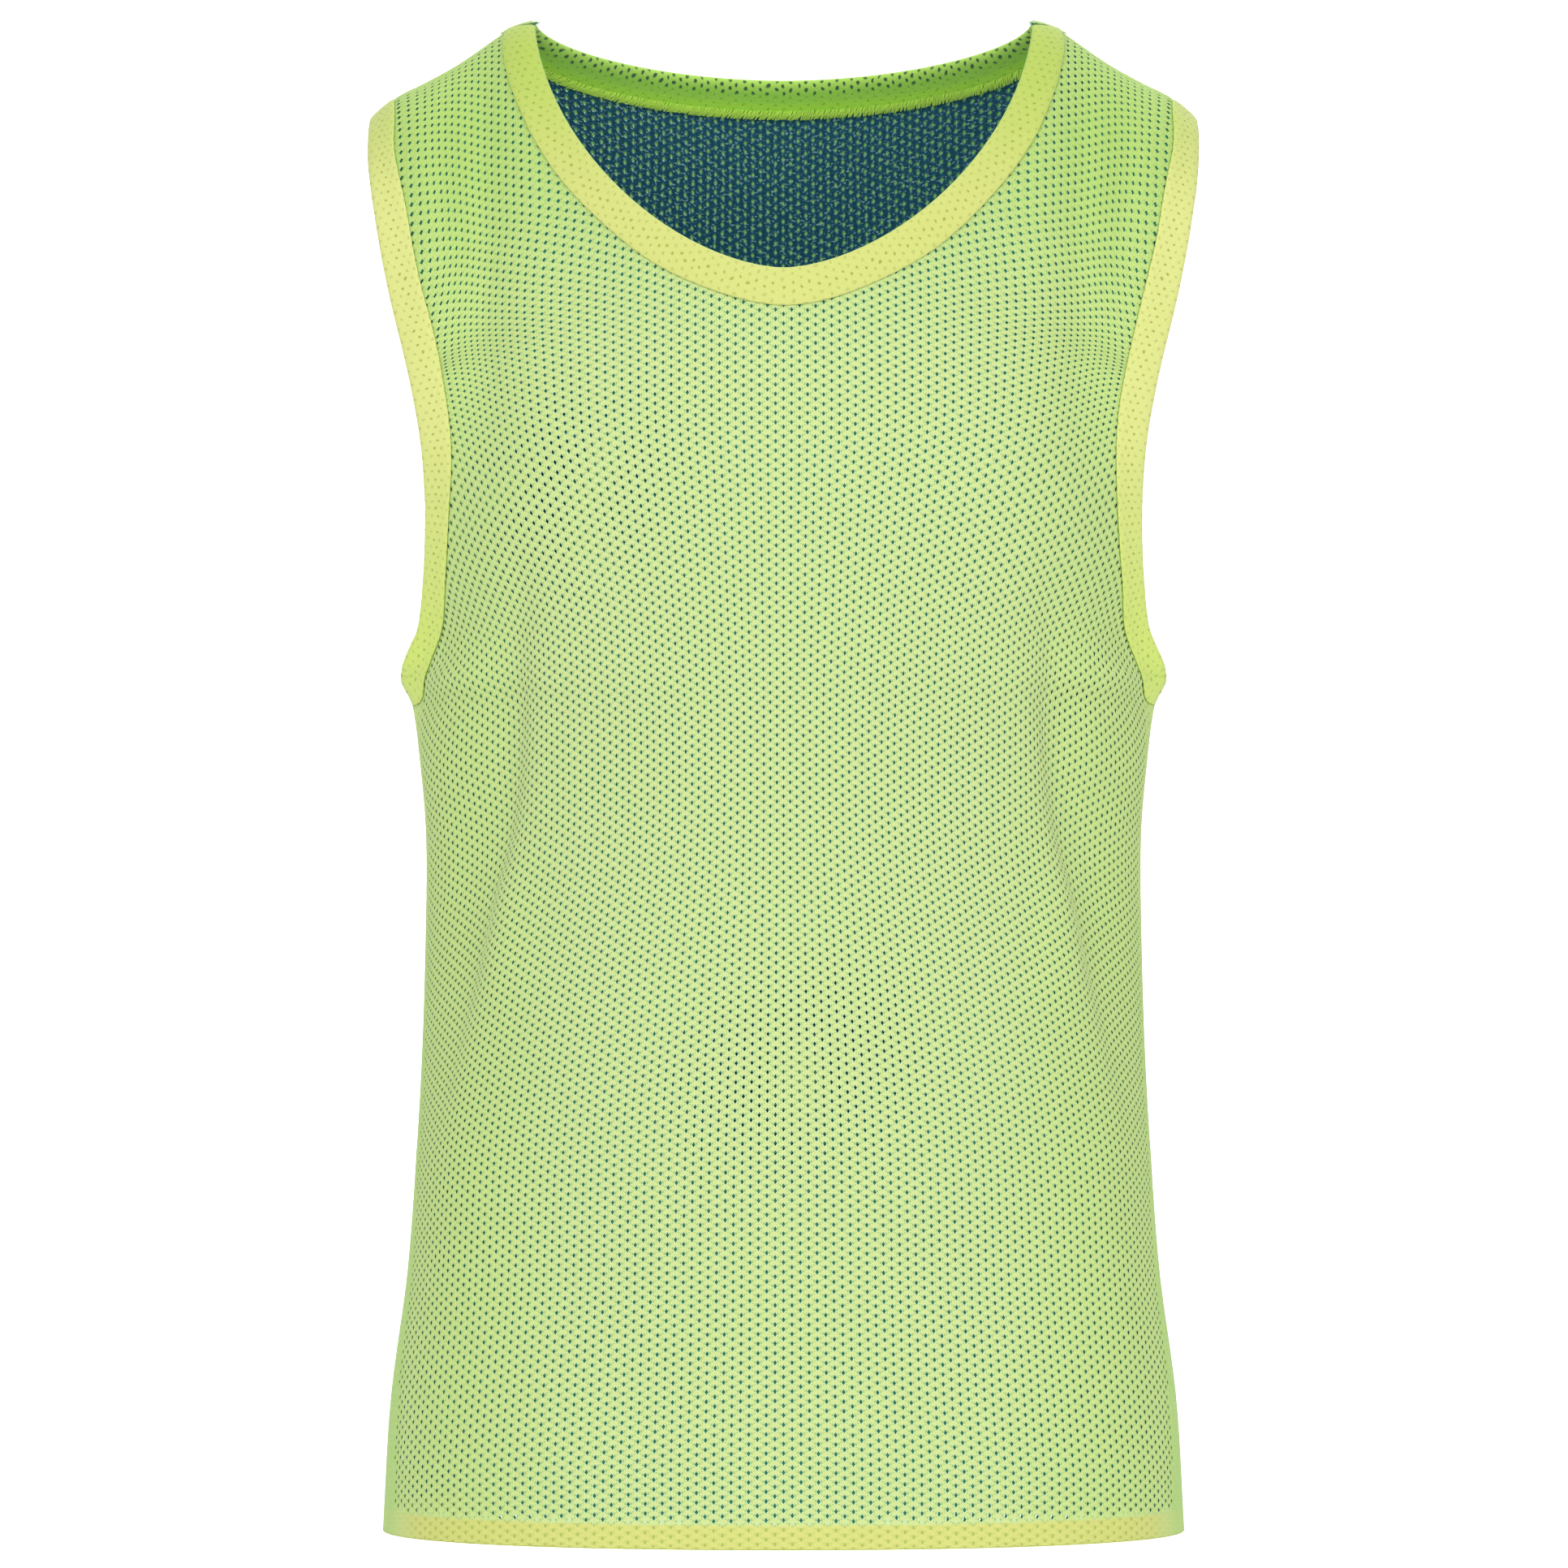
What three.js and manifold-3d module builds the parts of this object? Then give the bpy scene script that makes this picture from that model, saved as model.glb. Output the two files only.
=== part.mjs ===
// A reversible training bib, filled out as if worn, with no wearer inside.
//
// Units are millimetres, +Z is up, the front faces -Y and the wearer's left is +X.
// The origin is midway between the two shoulder straps, at the height of the wearer's shoulders under them.
//
// The bib is two layers of mesh cloth, lime outside and petrol blue inside. Both follow one form: a bag that
// is open at the hem and closed along the shoulder line. A shell of that bag is cut by the neckline, the
// armholes, the hem and the seams, as a maker cuts cloth, and the bindings are folded round the cut edges.

import * as THREE from "three";
import { mergeVertices } from "three/addons/utils/BufferGeometryUtils.js";
import Module from "manifold-3d";

const wasm = await Module();
wasm.setup();

// Cloth and making
const CLOTH = 1.0; // wall of one layer
const SEAM = 0.3; // gap between pieces that meet
const BINDING = 16; // width of the neck and armhole bindings
const HEM = 15; // height of the turned hem

// Heights
const HEM_Z = -672;
const CHEST_Z = -205; // the elliptical shoulder arches end here
const NECK_RIDGE_Z = 68; // the bag closes here over the neck, inside the part that is cut away

// The body's level sections, from the hem up. Sizes are half widths and depths of the cloth's mid surface,
// and power is the superellipse's: 2 is an ellipse, less has a crease at the side seam.
const SECTIONS = [
  { name: "hem", z: -672, halfWidth: 182.6, front: 128, back: 132, power: 2.15 },
  { name: "seat", z: -612, halfWidth: 179, front: 125, back: 130, power: 2.12 },
  { name: "hip", z: -550, halfWidth: 171, front: 121, back: 126, power: 2.1 },
  { name: "belly", z: -480, halfWidth: 166.3, front: 116, back: 119, power: 2.05 },
  { name: "waist", z: -410, halfWidth: 163.6, front: 110, back: 112, power: 1.95 },
  { name: "ribs", z: -355, halfWidth: 163, front: 106, back: 110, power: 1.85 },
  { name: "side", z: -318, halfWidth: 166, front: 105, back: 110, power: 1.82 },
  { name: "underarm", z: -294, halfWidth: 169.5, front: 105, back: 111, power: 1.85 },
  { name: "lip", z: -282, halfWidth: 174.5, front: 105.5, back: 112, power: 1.9 },
  { name: "armhole", z: -258, halfWidth: 168, front: 106, back: 112.5, power: 1.95 },
  { name: "chest", z: -205, halfWidth: 169.5, front: 107, back: 113, power: 2 },
];

// The shoulder line from the neck to the strap's end, which droops over the shoulder.
const SHOULDER = [
  { name: "neck point", x: 114.5, z: 18 },
  { name: "binding's inner edge", x: 124, z: 14.5 },
  { name: "slope", x: 149, z: -1.8 },
  { name: "outer slope", x: 171, z: -13.4 },
  { name: "tip", x: 182.8, z: -19.6 },
  { name: "droop", x: 188, z: -29 },
  { name: "droop's end", x: 189.4, z: -41 },
];

// The armhole's cut edge, from the underarm to the shoulder line. The body's rows give a height, the strap's
// rows give a lift: the way from the chest line, at 0, over the arch to the shoulder line, at 1. front and
// back are shares of the way round from the centre line to the side line.
const ARMHOLE = [
  { z: -281, front: 1, back: 1 },
  { z: -276, front: 0.963, back: 0.96 },
  { z: -263, front: 0.928, back: 0.922 },
  { z: -242, front: 0.889, back: 0.882 },
  { z: -215, front: 0.855, back: 0.847 },
  { lift: 0.08, front: 0.84, back: 0.832 },
  { lift: 0.2, front: 0.86, back: 0.85 },
  { lift: 0.35, front: 0.9, back: 0.89 },
  { lift: 0.5, front: 0.928, back: 0.922 },
  { lift: 0.7, front: 0.95, back: 0.947 },
  { lift: 0.87, front: 0.942, back: 0.942 },
  { lift: 1, front: 0.936, back: 0.936 },
];

// The neckline seen from the front. Both halves are superellipses that start at the neck points.
const NECK = {
  front: { drop: 115.5, power: 1.72 },
  back: { drop: 23, power: 1.85 },
};

// The soft folds that fall from under each armhole, as a trough that moves outwards on its way down.
// at is the distance round the cloth from the centre line, and depth is how far the trough is pushed in.
const FOLDS = [
  { z: -215, at: 128, depth: 0 },
  { z: -265, at: 133, depth: 4 },
  { z: -323, at: 140, depth: 8 },
  { z: -360, at: 147, depth: 9 },
  { z: -400, at: 158, depth: 7.5 },
  { z: -440, at: 171, depth: 4.5 },
  { z: -500, at: 190, depth: 0 },
];
const FOLD_STEEP = 9; // width of the trough's front slope
const FOLD_EASY = 22; // width of its slope towards the side seam

const STRAP_FULLNESS = 34; // how far the strap's arch stands out in front and behind at the armhole
const STRAP_FROM = 138; // distance from the centre line at which that starts
const STRAP_TO = 190; // it is full here
const STRAP_END = 207; // it falls away again from here to the side line
const ARCH_LEAN = 1.4; // above 1, the arch stands upright for longer before it leans in

// Steps of the grid
const BODY_ROWS = 10;
const ARCH_ROWS = 7;
const QUARTER = [0, 0.16, 0.32, 0.44, 0.54, 0.62, 0.69, 0.78, 0.89, 1];
const SECTION_STEPS = 72;
const NECK_STEPS = 8;
const ARMHOLE_STEPS = 30;
const HALVINGS = 40;
const CROWDING = 0.25; // the body's rows lie closer together towards the chest by this share

// Cutting
const STACK = SEAM / 2 + CLOTH + SEAM + CLOTH; // half the thickness of a bound edge
const CUT_REACH = 6; // how far a cutter's wall stands out of the cloth
const NEAR = 40; // distance over which the cloth's direction is blended
const WELD = 1e-4; // corners closer than this are one

// Reads a column of a table at a height, on a smooth curve through its rows.
function smooth(table, column, z) {
  const last = table.length - 1;
  const rising = table[last].z > table[0].z ? 1 : -1;
  let i = 0;
  while (i < last - 1 && (z - table[i + 1].z) * rising > 0) {
    i += 1;
  }
  const slope = (k) => {
    const a = table[Math.max(k - 1, 0)];
    const b = table[Math.min(k + 1, last)];
    return (b[column] - a[column]) / (b.z - a.z);
  };
  const span = table[i + 1].z - table[i].z;
  const t = THREE.MathUtils.clamp((z - table[i].z) / span, 0, 1);
  const rest = 1 - t;
  return (
    table[i][column] * rest * rest * (1 + 2 * t) +
    table[i + 1][column] * t * t * (3 - 2 * t) +
    slope(i) * span * t * rest * rest -
    slope(i + 1) * span * t * t * rest
  );
}

// A line of points with its running length, and the point at a share of the whole length.
function measured(points) {
  const lengths = [0];
  for (let i = 1; i < points.length; i += 1) {
    lengths.push(lengths[i - 1] + points[i].distanceTo(points[i - 1]));
  }
  return { points, lengths, whole: lengths[points.length - 1] };
}

function pointAt(line, distance) {
  let i = 1;
  while (i < line.points.length - 1 && line.lengths[i] < distance) {
    i += 1;
  }
  const share = (distance - line.lengths[i - 1]) / (line.lengths[i] - line.lengths[i - 1]);
  return line.points[i - 1].clone().lerp(line.points[i], share);
}

// A quarter of a level section, from the centre line to the side seam at +X. face is "front" or "back".
function quarterSection(face, z) {
  const width = smooth(SECTIONS, "halfWidth", z);
  const depth = smooth(SECTIONS, face, z) * (face === "front" ? -1 : 1);
  const power = 2 / smooth(SECTIONS, "power", z);
  const points = [];
  for (let i = 0; i <= SECTION_STEPS; i += 1) {
    const angle = (i / SECTION_STEPS) * (Math.PI / 2);
    const across = Math.sin(angle) ** power;
    const out = Math.abs(Math.cos(angle)) ** power;
    points.push(new THREE.Vector3(width * across, depth * (i < SECTION_STEPS ? out : 0), z));
  }
  return measured(points);
}

// The line along which the bag closes: over the neck, where it is cut away, then the shoulder line.
function ridgeLine() {
  const points = [];
  const first = SHOULDER[0];
  for (let i = 0; i < SECTION_STEPS; i += 1) {
    const share = i / SECTION_STEPS;
    const rise = (NECK_RIDGE_Z - first.z) * (1 - share * share) ** 2;
    points.push(new THREE.Vector3(first.x * share, 0, first.z + rise));
  }
  const knots = SHOULDER.map((row) => new THREE.Vector3(row.x, 0, row.z));
  points.push(...new THREE.CatmullRomCurve3(knots).getPoints(SECTION_STEPS));
  return measured(points);
}

const ridge = ridgeLine();
const neckShare = ridge.lengths[SECTION_STEPS] / ridge.whole;
const chest = { front: quarterSection("front", CHEST_Z), back: quarterSection("back", CHEST_Z) };

// The shoulder line's point that a share of the chest's quarter meets. The neck points stay over each other.
function ridgeAt(share) {
  const neckAt = SHOULDER[0].x / chest.front.whole;
  const along =
    share < neckAt
      ? (share / neckAt) * neckShare
      : neckShare + ((share - neckAt) / (1 - neckAt)) * (1 - neckShare);
  return pointAt(ridge, along * ridge.whole);
}

// How far the trough of the side fold is pushed in at a place on the body.
function foldDepth(distance, z) {
  const top = FOLDS[0].z;
  const bottom = FOLDS[FOLDS.length - 1].z;
  if (z > top || z < bottom) return 0;
  const from = distance - smooth(FOLDS, "at", z);
  const width = from < 0 ? FOLD_STEEP : FOLD_EASY;
  return Math.max(smooth(FOLDS, "depth", z), 0) * Math.exp(-0.5 * (from / width) ** 2);
}

// A point of the bag's mid surface on the body, below the chest line.
function bodyPoint(face, share, z) {
  const section = quarterSection(face, z);
  const distance = share * section.whole;
  const point = pointAt(section, distance);
  const inwards = new THREE.Vector3(-point.x, -point.y, 0).normalize();
  return point.addScaledVector(inwards, foldDepth(distance, z));
}

// A point on the arch that runs from the chest line, where lift is 0, over to the shoulder line, at 1.
function archPoint(face, share, lift) {
  const base = pointAt(chest[face], share * chest[face].whole);
  const top = ridgeAt(share);
  const angle = (1 - lift) * (Math.PI / 2);
  const down = 1 - Math.cos(angle);
  const distance = share * chest[face].whole;
  const rise = THREE.MathUtils.smoothstep(distance, STRAP_FROM, STRAP_TO);
  const fall = 1 - THREE.MathUtils.smoothstep(distance, STRAP_END, chest[face].whole);
  const full = rise * fall * STRAP_FULLNESS;
  const sign = face === "front" ? -1 : 1;
  return new THREE.Vector3(
    THREE.MathUtils.lerp(top.x, base.x, down ** ARCH_LEAN),
    base.y * Math.sin(angle) + sign * full * Math.sin(2 * angle),
    THREE.MathUtils.lerp(top.z, base.z, down),
  );
}

// The rows of the grid, from the hem to the shoulder line, each as a function of face and share.
function gridRows() {
  const rows = [];
  for (let i = 0; i < BODY_ROWS; i += 1) {
    const t = i / BODY_ROWS;
    const z = THREE.MathUtils.lerp(HEM_Z, CHEST_Z, t * (1 + CROWDING - CROWDING * t));
    rows.push((face, share) => bodyPoint(face, share, z));
  }
  for (let i = 0; i <= ARCH_ROWS; i += 1) {
    const lift = i / ARCH_ROWS;
    rows.push((face, share) => archPoint(face, share, lift));
  }
  return rows;
}

// Where a corner of the grid is kept. Along the shoulder line the back's corners are the front's.
function cornerAt(row, k, around) {
  const isShoulderLine = row === BODY_ROWS + ARCH_ROWS;
  const side = around / 4;
  const place = ((k % around) + around) % around;
  if (!isShoulderLine || place <= side || place >= 3 * side) return row * around + place;
  return row * around + (place <= 2 * side ? 2 * side - place : 6 * side - place);
}

// The bag's mid surface as an indexed geometry, with the normals along which layers are moved out.
function bagSurface() {
  const quarters = QUARTER.length - 1;
  const around = quarters * 4;
  const rows = gridRows();
  const positions = [];
  for (const row of rows) {
    for (let k = 0; k < around; k += 1) {
      const half = k <= 2 * quarters ? k : around - k;
      const face = half <= quarters ? "front" : "back";
      const share = QUARTER[half <= quarters ? half : 2 * quarters - half];
      const point = row(face, share);
      positions.push(k <= 2 * quarters ? point.x : -point.x, point.y, point.z);
    }
  }
  const index = [];
  for (let r = 0; r < rows.length - 1; r += 1) {
    for (let k = 0; k < around; k += 1) {
      const corners = [cornerAt(r, k, around), cornerAt(r, k + 1, around)];
      corners.push(cornerAt(r + 1, k + 1, around), cornerAt(r + 1, k, around));
      index.push(corners[0], corners[1], corners[2], corners[0], corners[2], corners[3]);
    }
  }
  const geometry = new THREE.BufferGeometry();
  geometry.setAttribute("position", new THREE.Float32BufferAttribute(positions, 3));
  geometry.setIndex(index);
  geometry.computeVertexNormals();
  return { geometry, around };
}

// A closed geometry as a manifold-3d solid.
function solidOf(geometry) {
  const bare = geometry.clone();
  bare.deleteAttribute("normal");
  bare.deleteAttribute("uv");
  const merged = mergeVertices(bare, WELD);
  return new wasm.Manifold(
    new wasm.Mesh({
      numProp: 3,
      vertProperties: new Float32Array(merged.attributes.position.array),
      triVerts: new Uint32Array(merged.index.array),
    }),
  );
}

const bag = bagSurface();

// A wall round the whole bag, between two distances from its mid surface.
function shell(inner, outer) {
  const at = bag.geometry.attributes.position;
  const normal = bag.geometry.attributes.normal;
  const count = at.count;
  const positions = [];
  for (const distance of [outer, inner]) {
    for (let i = 0; i < count; i += 1) {
      positions.push(
        at.getX(i) + normal.getX(i) * distance,
        at.getY(i) + normal.getY(i) * distance,
        at.getZ(i) + (i < bag.around ? 0 : normal.getZ(i) * distance),
      );
    }
  }
  const index = [];
  const faces = bag.geometry.index.array;
  for (let i = 0; i < faces.length; i += 3) {
    const [a, b, c] = [faces[i], faces[i + 1], faces[i + 2]];
    index.push(a, b, c, a + count, c + count, b + count);
  }
  for (let k = 0; k < bag.around; k += 1) {
    const next = (k + 1) % bag.around;
    index.push(k, k + count, next, next, k + count, next + count);
  }
  const geometry = new THREE.BufferGeometry();
  geometry.setAttribute("position", new THREE.Float32BufferAttribute(positions, 3));
  geometry.setIndex(index);
  return solidOf(geometry);
}

// A point of the bag and the direction out of it, at a share of the way round and a height or a lift.
function surfacePoint(face, share, place) {
  if (place.lift === undefined) return bodyPoint(face, share, place.z);
  return archPoint(face, share, place.lift);
}

// The lift at which the neckline crosses the arch at a share, found by halving.
function neckLift(face, share) {
  const { drop, power } = NECK[face];
  const neckPoint = SHOULDER[0];
  let low = 0;
  let high = 1;
  for (let i = 0; i < HALVINGS; i += 1) {
    const lift = (low + high) / 2;
    const point = archPoint(face, share, lift);
    const across = Math.min(Math.abs(point.x) / neckPoint.x, 1);
    const line = neckPoint.z - drop * (1 - across ** power) ** (1 / power);
    if (point.z < line) {
      low = lift;
    } else {
      high = lift;
    }
  }
  return (low + high) / 2;
}

// The neckline as a closed loop of points.
function neckLoop() {
  const neckAt = SHOULDER[0].x / chest.front.whole;
  const loop = [];
  for (let k = 0; k < NECK_STEPS * 4; k += 1) {
    const half = k <= 2 * NECK_STEPS ? k : NECK_STEPS * 4 - k;
    const face = half <= NECK_STEPS ? "front" : "back";
    const step = half <= NECK_STEPS ? half : 2 * NECK_STEPS - half;
    const share = neckAt * Math.sin((step / NECK_STEPS) * (Math.PI / 2));
    const lift = step === NECK_STEPS ? 1 : neckLift(face, share);
    const point = archPoint(face, share, lift);
    if (k > 2 * NECK_STEPS) point.x = -point.x;
    loop.push(point);
  }
  return loop;
}

// The left armhole as a closed loop: up its back edge and down its front edge.
function armholeLoop() {
  const rows = ARMHOLE.length - 1;
  const loop = [];
  for (let k = 0; k < rows * 2; k += 1) {
    const face = k <= rows ? "back" : "front";
    const row = ARMHOLE[k <= rows ? k : rows * 2 - k];
    loop.push(surfacePoint(face, row[face], row));
  }
  return new THREE.CatmullRomCurve3(loop, true).getPoints(ARMHOLE_STEPS).slice(0, -1);
}

// The direction out of the cloth at a point of a loop, blended from the bag's nearest corners.
function outwardsAt(point) {
  const at = bag.geometry.attributes.position;
  const normal = bag.geometry.attributes.normal;
  const sum = new THREE.Vector3();
  const corner = new THREE.Vector3();
  const out = new THREE.Vector3();
  for (let i = 0; i < at.count; i += 1) {
    corner.fromBufferAttribute(at, i);
    const far = corner.distanceTo(point);
    if (far > NEAR) continue;
    out.fromBufferAttribute(normal, i);
    sum.addScaledVector(out, (1 - far / NEAR) ** 2);
  }
  return sum.normalize();
}

// A solid that cuts the bag along a loop. Its wall stands square to the cloth, moved along the cloth by a
// distance away from the opening. Over the cloth it closes in a cone to one tip, and below it to the other.
function cutter(loop, distance, outerTip, innerTip) {
  const count = loop.length;
  const positions = [];
  for (const reach of [CUT_REACH, -CUT_REACH]) {
    for (let k = 0; k < count; k += 1) {
      const out = outwardsAt(loop[k]);
      const along = loop[(k + 1) % count].clone().sub(loop[(k + count - 1) % count]);
      const away = along.cross(out).normalize();
      const point = loop[k].clone().addScaledVector(away, distance).addScaledVector(out, reach);
      positions.push(point.x, point.y, point.z);
    }
  }
  positions.push(...outerTip.toArray(), ...innerTip.toArray());
  const index = [];
  for (let k = 0; k < count; k += 1) {
    const next = (k + 1) % count;
    index.push(k, next, 2 * count);
    index.push(count + next, count + k, 2 * count + 1);
    index.push(k, count + k, next, next, count + k, count + next);
  }
  const geometry = new THREE.BufferGeometry();
  geometry.setAttribute("position", new THREE.Float32BufferAttribute(positions, 3));
  geometry.setIndex(index);
  const solid = solidOf(geometry);
  if (solid.volume() > 0) return solid;
  geometry.setIndex(index.reverse());
  return solidOf(geometry);
}

const neck = neckLoop();
const armhole = armholeLoop();

// The tips of the cutters' cones, one well outside the bag and one inside its hollow
const NECK_TIPS = [new THREE.Vector3(0, 0, 400), new THREE.Vector3(0, 0, -150)];
const ARM_TIPS = [new THREE.Vector3(420, 0, -150), new THREE.Vector3(60, 0, -150)];

const neckCut = (distance) => cutter(neck, distance, ...NECK_TIPS);
const leftCut = (distance) => cutter(armhole, distance, ...ARM_TIPS);
const rightCut = (distance) => leftCut(distance).mirror([1, 0, 0]);

// The cloth of one layer over the whole bag, without what the bindings' openings and the hem cut away.
function layer(inner, outer) {
  return shell(inner, outer)
    .subtract(neckCut(0))
    .subtract(leftCut(0))
    .subtract(rightCut(0))
    .trimByPlane([0, 0, 1], HEM_Z + CLOTH + SEAM);
}

// A binding folded round the cut edge of both layers.
function binding(cut) {
  const sleeve = shell(-STACK, STACK).intersect(cut(BINDING)).subtract(cut(-CLOTH - SEAM));
  const room = shell(CLOTH - STACK, STACK - CLOTH).subtract(cut(-SEAM));
  return sleeve.subtract(room);
}

const outerLayer = layer(SEAM / 2, SEAM / 2 + CLOTH);
const innerLayer = layer(-SEAM / 2 - CLOTH, -SEAM / 2);
const frontOf = (solid) => solid.trimByPlane([0, -1, 0], SEAM / 2);
const backOf = (solid) => solid.trimByPlane([0, 1, 0], SEAM / 2);

// The hem is the cloth turned up round the lower edge of both layers, as a ring with a groove.
const hemBand = shell(-STACK, STACK)
  .trimByPlane([0, 0, -1], -HEM_Z - HEM)
  .subtract(shell(CLOTH - STACK, STACK - CLOTH).trimByPlane([0, 0, 1], HEM_Z + CLOTH));

const LIME = { color: "#c9df92", roughness: 0.85 };
const BAND = { color: "#dbe383", roughness: 0.8 };
const PETROL = { color: "#2f6c70", roughness: 0.85 };

const bib = new THREE.Group();
bib.name = "training_bib";

function addPiece(name, solid, finish) {
  const mesh = solid.getMesh();
  const geometry = new THREE.BufferGeometry();
  const positions = new Float32Array(mesh.numVert * 3);
  for (let i = 0; i < mesh.numVert; i += 1) {
    for (let axis = 0; axis < 3; axis += 1) {
      positions[i * 3 + axis] = mesh.vertProperties[i * mesh.numProp + axis];
    }
  }
  geometry.setAttribute("position", new THREE.BufferAttribute(positions, 3));
  geometry.setIndex(new THREE.BufferAttribute(new Uint32Array(mesh.triVerts), 1));
  geometry.computeVertexNormals();
  const piece = new THREE.Mesh(geometry, new THREE.MeshStandardMaterial({ metalness: 0, ...finish }));
  piece.name = name;
  bib.add(piece);
}

addPiece("front_outer", frontOf(outerLayer), LIME);
addPiece("back_outer", backOf(outerLayer), LIME);
addPiece("front_inner", frontOf(innerLayer), PETROL);
addPiece("back_inner", backOf(innerLayer), PETROL);
addPiece("neck_binding", binding(neckCut), BAND);
addPiece("armhole_binding_left", binding(leftCut), BAND);
addPiece("armhole_binding_right", binding(rightCut), BAND);
addPiece("hem_band", hemBand, BAND);

export default bib;
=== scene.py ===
# %% [markdown]
# # A reversible training bib in mesh cloth
#
# The bib hangs filled out, as if somebody wore it, but nobody is inside. It has two layers of perforated
# knit, lime outside and petrol blue inside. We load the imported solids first, because they fix every size
# and place. Then each solid is replaced by finer cloth that lies on the same form.

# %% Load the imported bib
import math

import bpy
import numpy as np
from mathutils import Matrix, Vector


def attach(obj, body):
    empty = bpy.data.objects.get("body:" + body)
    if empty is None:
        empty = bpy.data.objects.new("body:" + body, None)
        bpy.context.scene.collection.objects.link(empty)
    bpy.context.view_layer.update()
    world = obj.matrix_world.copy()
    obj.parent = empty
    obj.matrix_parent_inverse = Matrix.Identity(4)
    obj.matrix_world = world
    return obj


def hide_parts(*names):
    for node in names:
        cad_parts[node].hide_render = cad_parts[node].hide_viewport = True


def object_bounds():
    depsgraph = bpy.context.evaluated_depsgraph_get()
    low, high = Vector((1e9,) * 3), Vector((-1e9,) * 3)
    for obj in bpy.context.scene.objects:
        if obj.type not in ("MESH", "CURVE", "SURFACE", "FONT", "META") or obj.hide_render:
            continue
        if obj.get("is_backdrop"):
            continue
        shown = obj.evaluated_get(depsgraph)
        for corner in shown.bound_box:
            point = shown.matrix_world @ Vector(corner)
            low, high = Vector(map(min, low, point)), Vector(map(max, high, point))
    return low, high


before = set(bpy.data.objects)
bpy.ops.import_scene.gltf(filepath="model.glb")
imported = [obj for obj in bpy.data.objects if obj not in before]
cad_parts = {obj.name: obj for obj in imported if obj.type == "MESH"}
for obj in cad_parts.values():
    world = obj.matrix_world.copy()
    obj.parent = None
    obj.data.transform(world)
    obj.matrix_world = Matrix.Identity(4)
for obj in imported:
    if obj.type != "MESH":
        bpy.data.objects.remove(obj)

cad_low, cad_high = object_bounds()
print("packed bib, mm:", [round(1000 * (b - a)) for a, b in zip(cad_low, cad_high)])

# %% [markdown]
# ## The form of the bib
#
# The cloth follows one smooth bag, open at the hem and closed along the shoulder line. Below the chest the
# bag is a stack of level ovals. Above it, arches run over to the shoulders. The tables hold the sizes of
# that bag in millimetres. They are those of the solids, so the cloth lands where the solids are. Only the
# front neckline is 3 mm lower, as the photo shows it.

# %% Sizes and tables, in millimetres
HEM_Z = -672
CHEST_Z = -205
HEM_H = HEM_Z - CHEST_Z  # the bottom edge on the flat pattern, whose heights count from the chest line
NECK_RIDGE_Z = 68
BINDING = 16
HEM = 15
FRONT, BACK = -1, 1

SECTIONS = [
    # z, half width, front depth, back depth, power
    (-672, 182.6, 128, 132, 2.15),
    (-612, 179, 125, 130, 2.12),
    (-550, 171, 121, 126, 2.1),
    (-480, 166.3, 116, 119, 2.05),
    (-410, 163.6, 110, 112, 1.95),
    (-355, 163, 106, 110, 1.85),
    (-318, 166, 105, 110, 1.82),
    (-294, 169.5, 105, 111, 1.85),
    (-282, 174.5, 105.5, 112, 1.9),
    (-258, 168, 106, 112.5, 1.95),
    (-205, 169.5, 107, 113, 2),
]
SHOULDER = [(114.5, 18), (124, 14.5), (149, -1.8), (171, -13.4), (182.8, -19.6), (188, -29), (189.4, -41)]
NECK = {FRONT: (118.5, 1.72), BACK: (23, 1.85)}  # drop, power
ARMHOLE_BODY = [
    # z, front share, back share
    (-281, 1, 1),
    (-276, 0.963, 0.96),
    (-263, 0.928, 0.922),
    (-242, 0.889, 0.882),
    (-215, 0.855, 0.847),
]
ARMHOLE_STRAP = [
    # lift, front share, back share
    (0.08, 0.84, 0.832),
    (0.2, 0.86, 0.85),
    (0.35, 0.9, 0.89),
    (0.5, 0.928, 0.922),
    (0.7, 0.95, 0.947),
    (0.87, 0.942, 0.942),
    (1, 0.936, 0.936),
]
FOLDS = [
    # z, distance from the centre line, depth of the trough under the armhole
    (-215, 128, 0),
    (-265, 133, 4),
    (-323, 140, 8),
    (-360, 147, 9),
    (-400, 158, 7.5),
    (-440, 171, 4.5),
    (-500, 190, 0),
]
FOLD_STEEP, FOLD_EASY = 9, 22  # how far the trough's slopes reach, to the middle and to the side
STRAP_FULLNESS = 34  # how far the strap stands out of the arches
STRAP_FROM, STRAP_TO, STRAP_END = 138, 190, 207  # distances from the centre line between which it does

# %% Read a table along a smooth curve
def smooth(rows, column, at):
    """Reads a column of a table at any places of its first column."""
    rows = np.array(rows, float)
    at = np.atleast_1d(np.asarray(at, float))
    keys, values = rows[:, 0], rows[:, column]
    if keys[0] > keys[-1]:
        keys, values = keys[::-1], values[::-1]
    slopes = np.empty(len(keys))
    slopes[1:-1] = (values[2:] - values[:-2]) / (keys[2:] - keys[:-2])
    slopes[0] = (values[1] - values[0]) / (keys[1] - keys[0])
    slopes[-1] = (values[-1] - values[-2]) / (keys[-1] - keys[-2])
    i = np.clip(np.searchsorted(keys, at) - 1, 0, len(keys) - 2)
    span = keys[i + 1] - keys[i]
    t = np.clip((at - keys[i]) / span, 0, 1)
    rest = 1 - t
    ends = values[i] * rest * rest * (1 + 2 * t) + values[i + 1] * t * t * (3 - 2 * t)
    return ends + slopes[i] * span * t * rest * rest - slopes[i + 1] * span * t * t * rest


def run_along(line):
    """Distance run along a line at each of its points."""
    return np.r_[0, np.cumsum(np.hypot(*np.diff(line, axis=0).T))]


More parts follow.
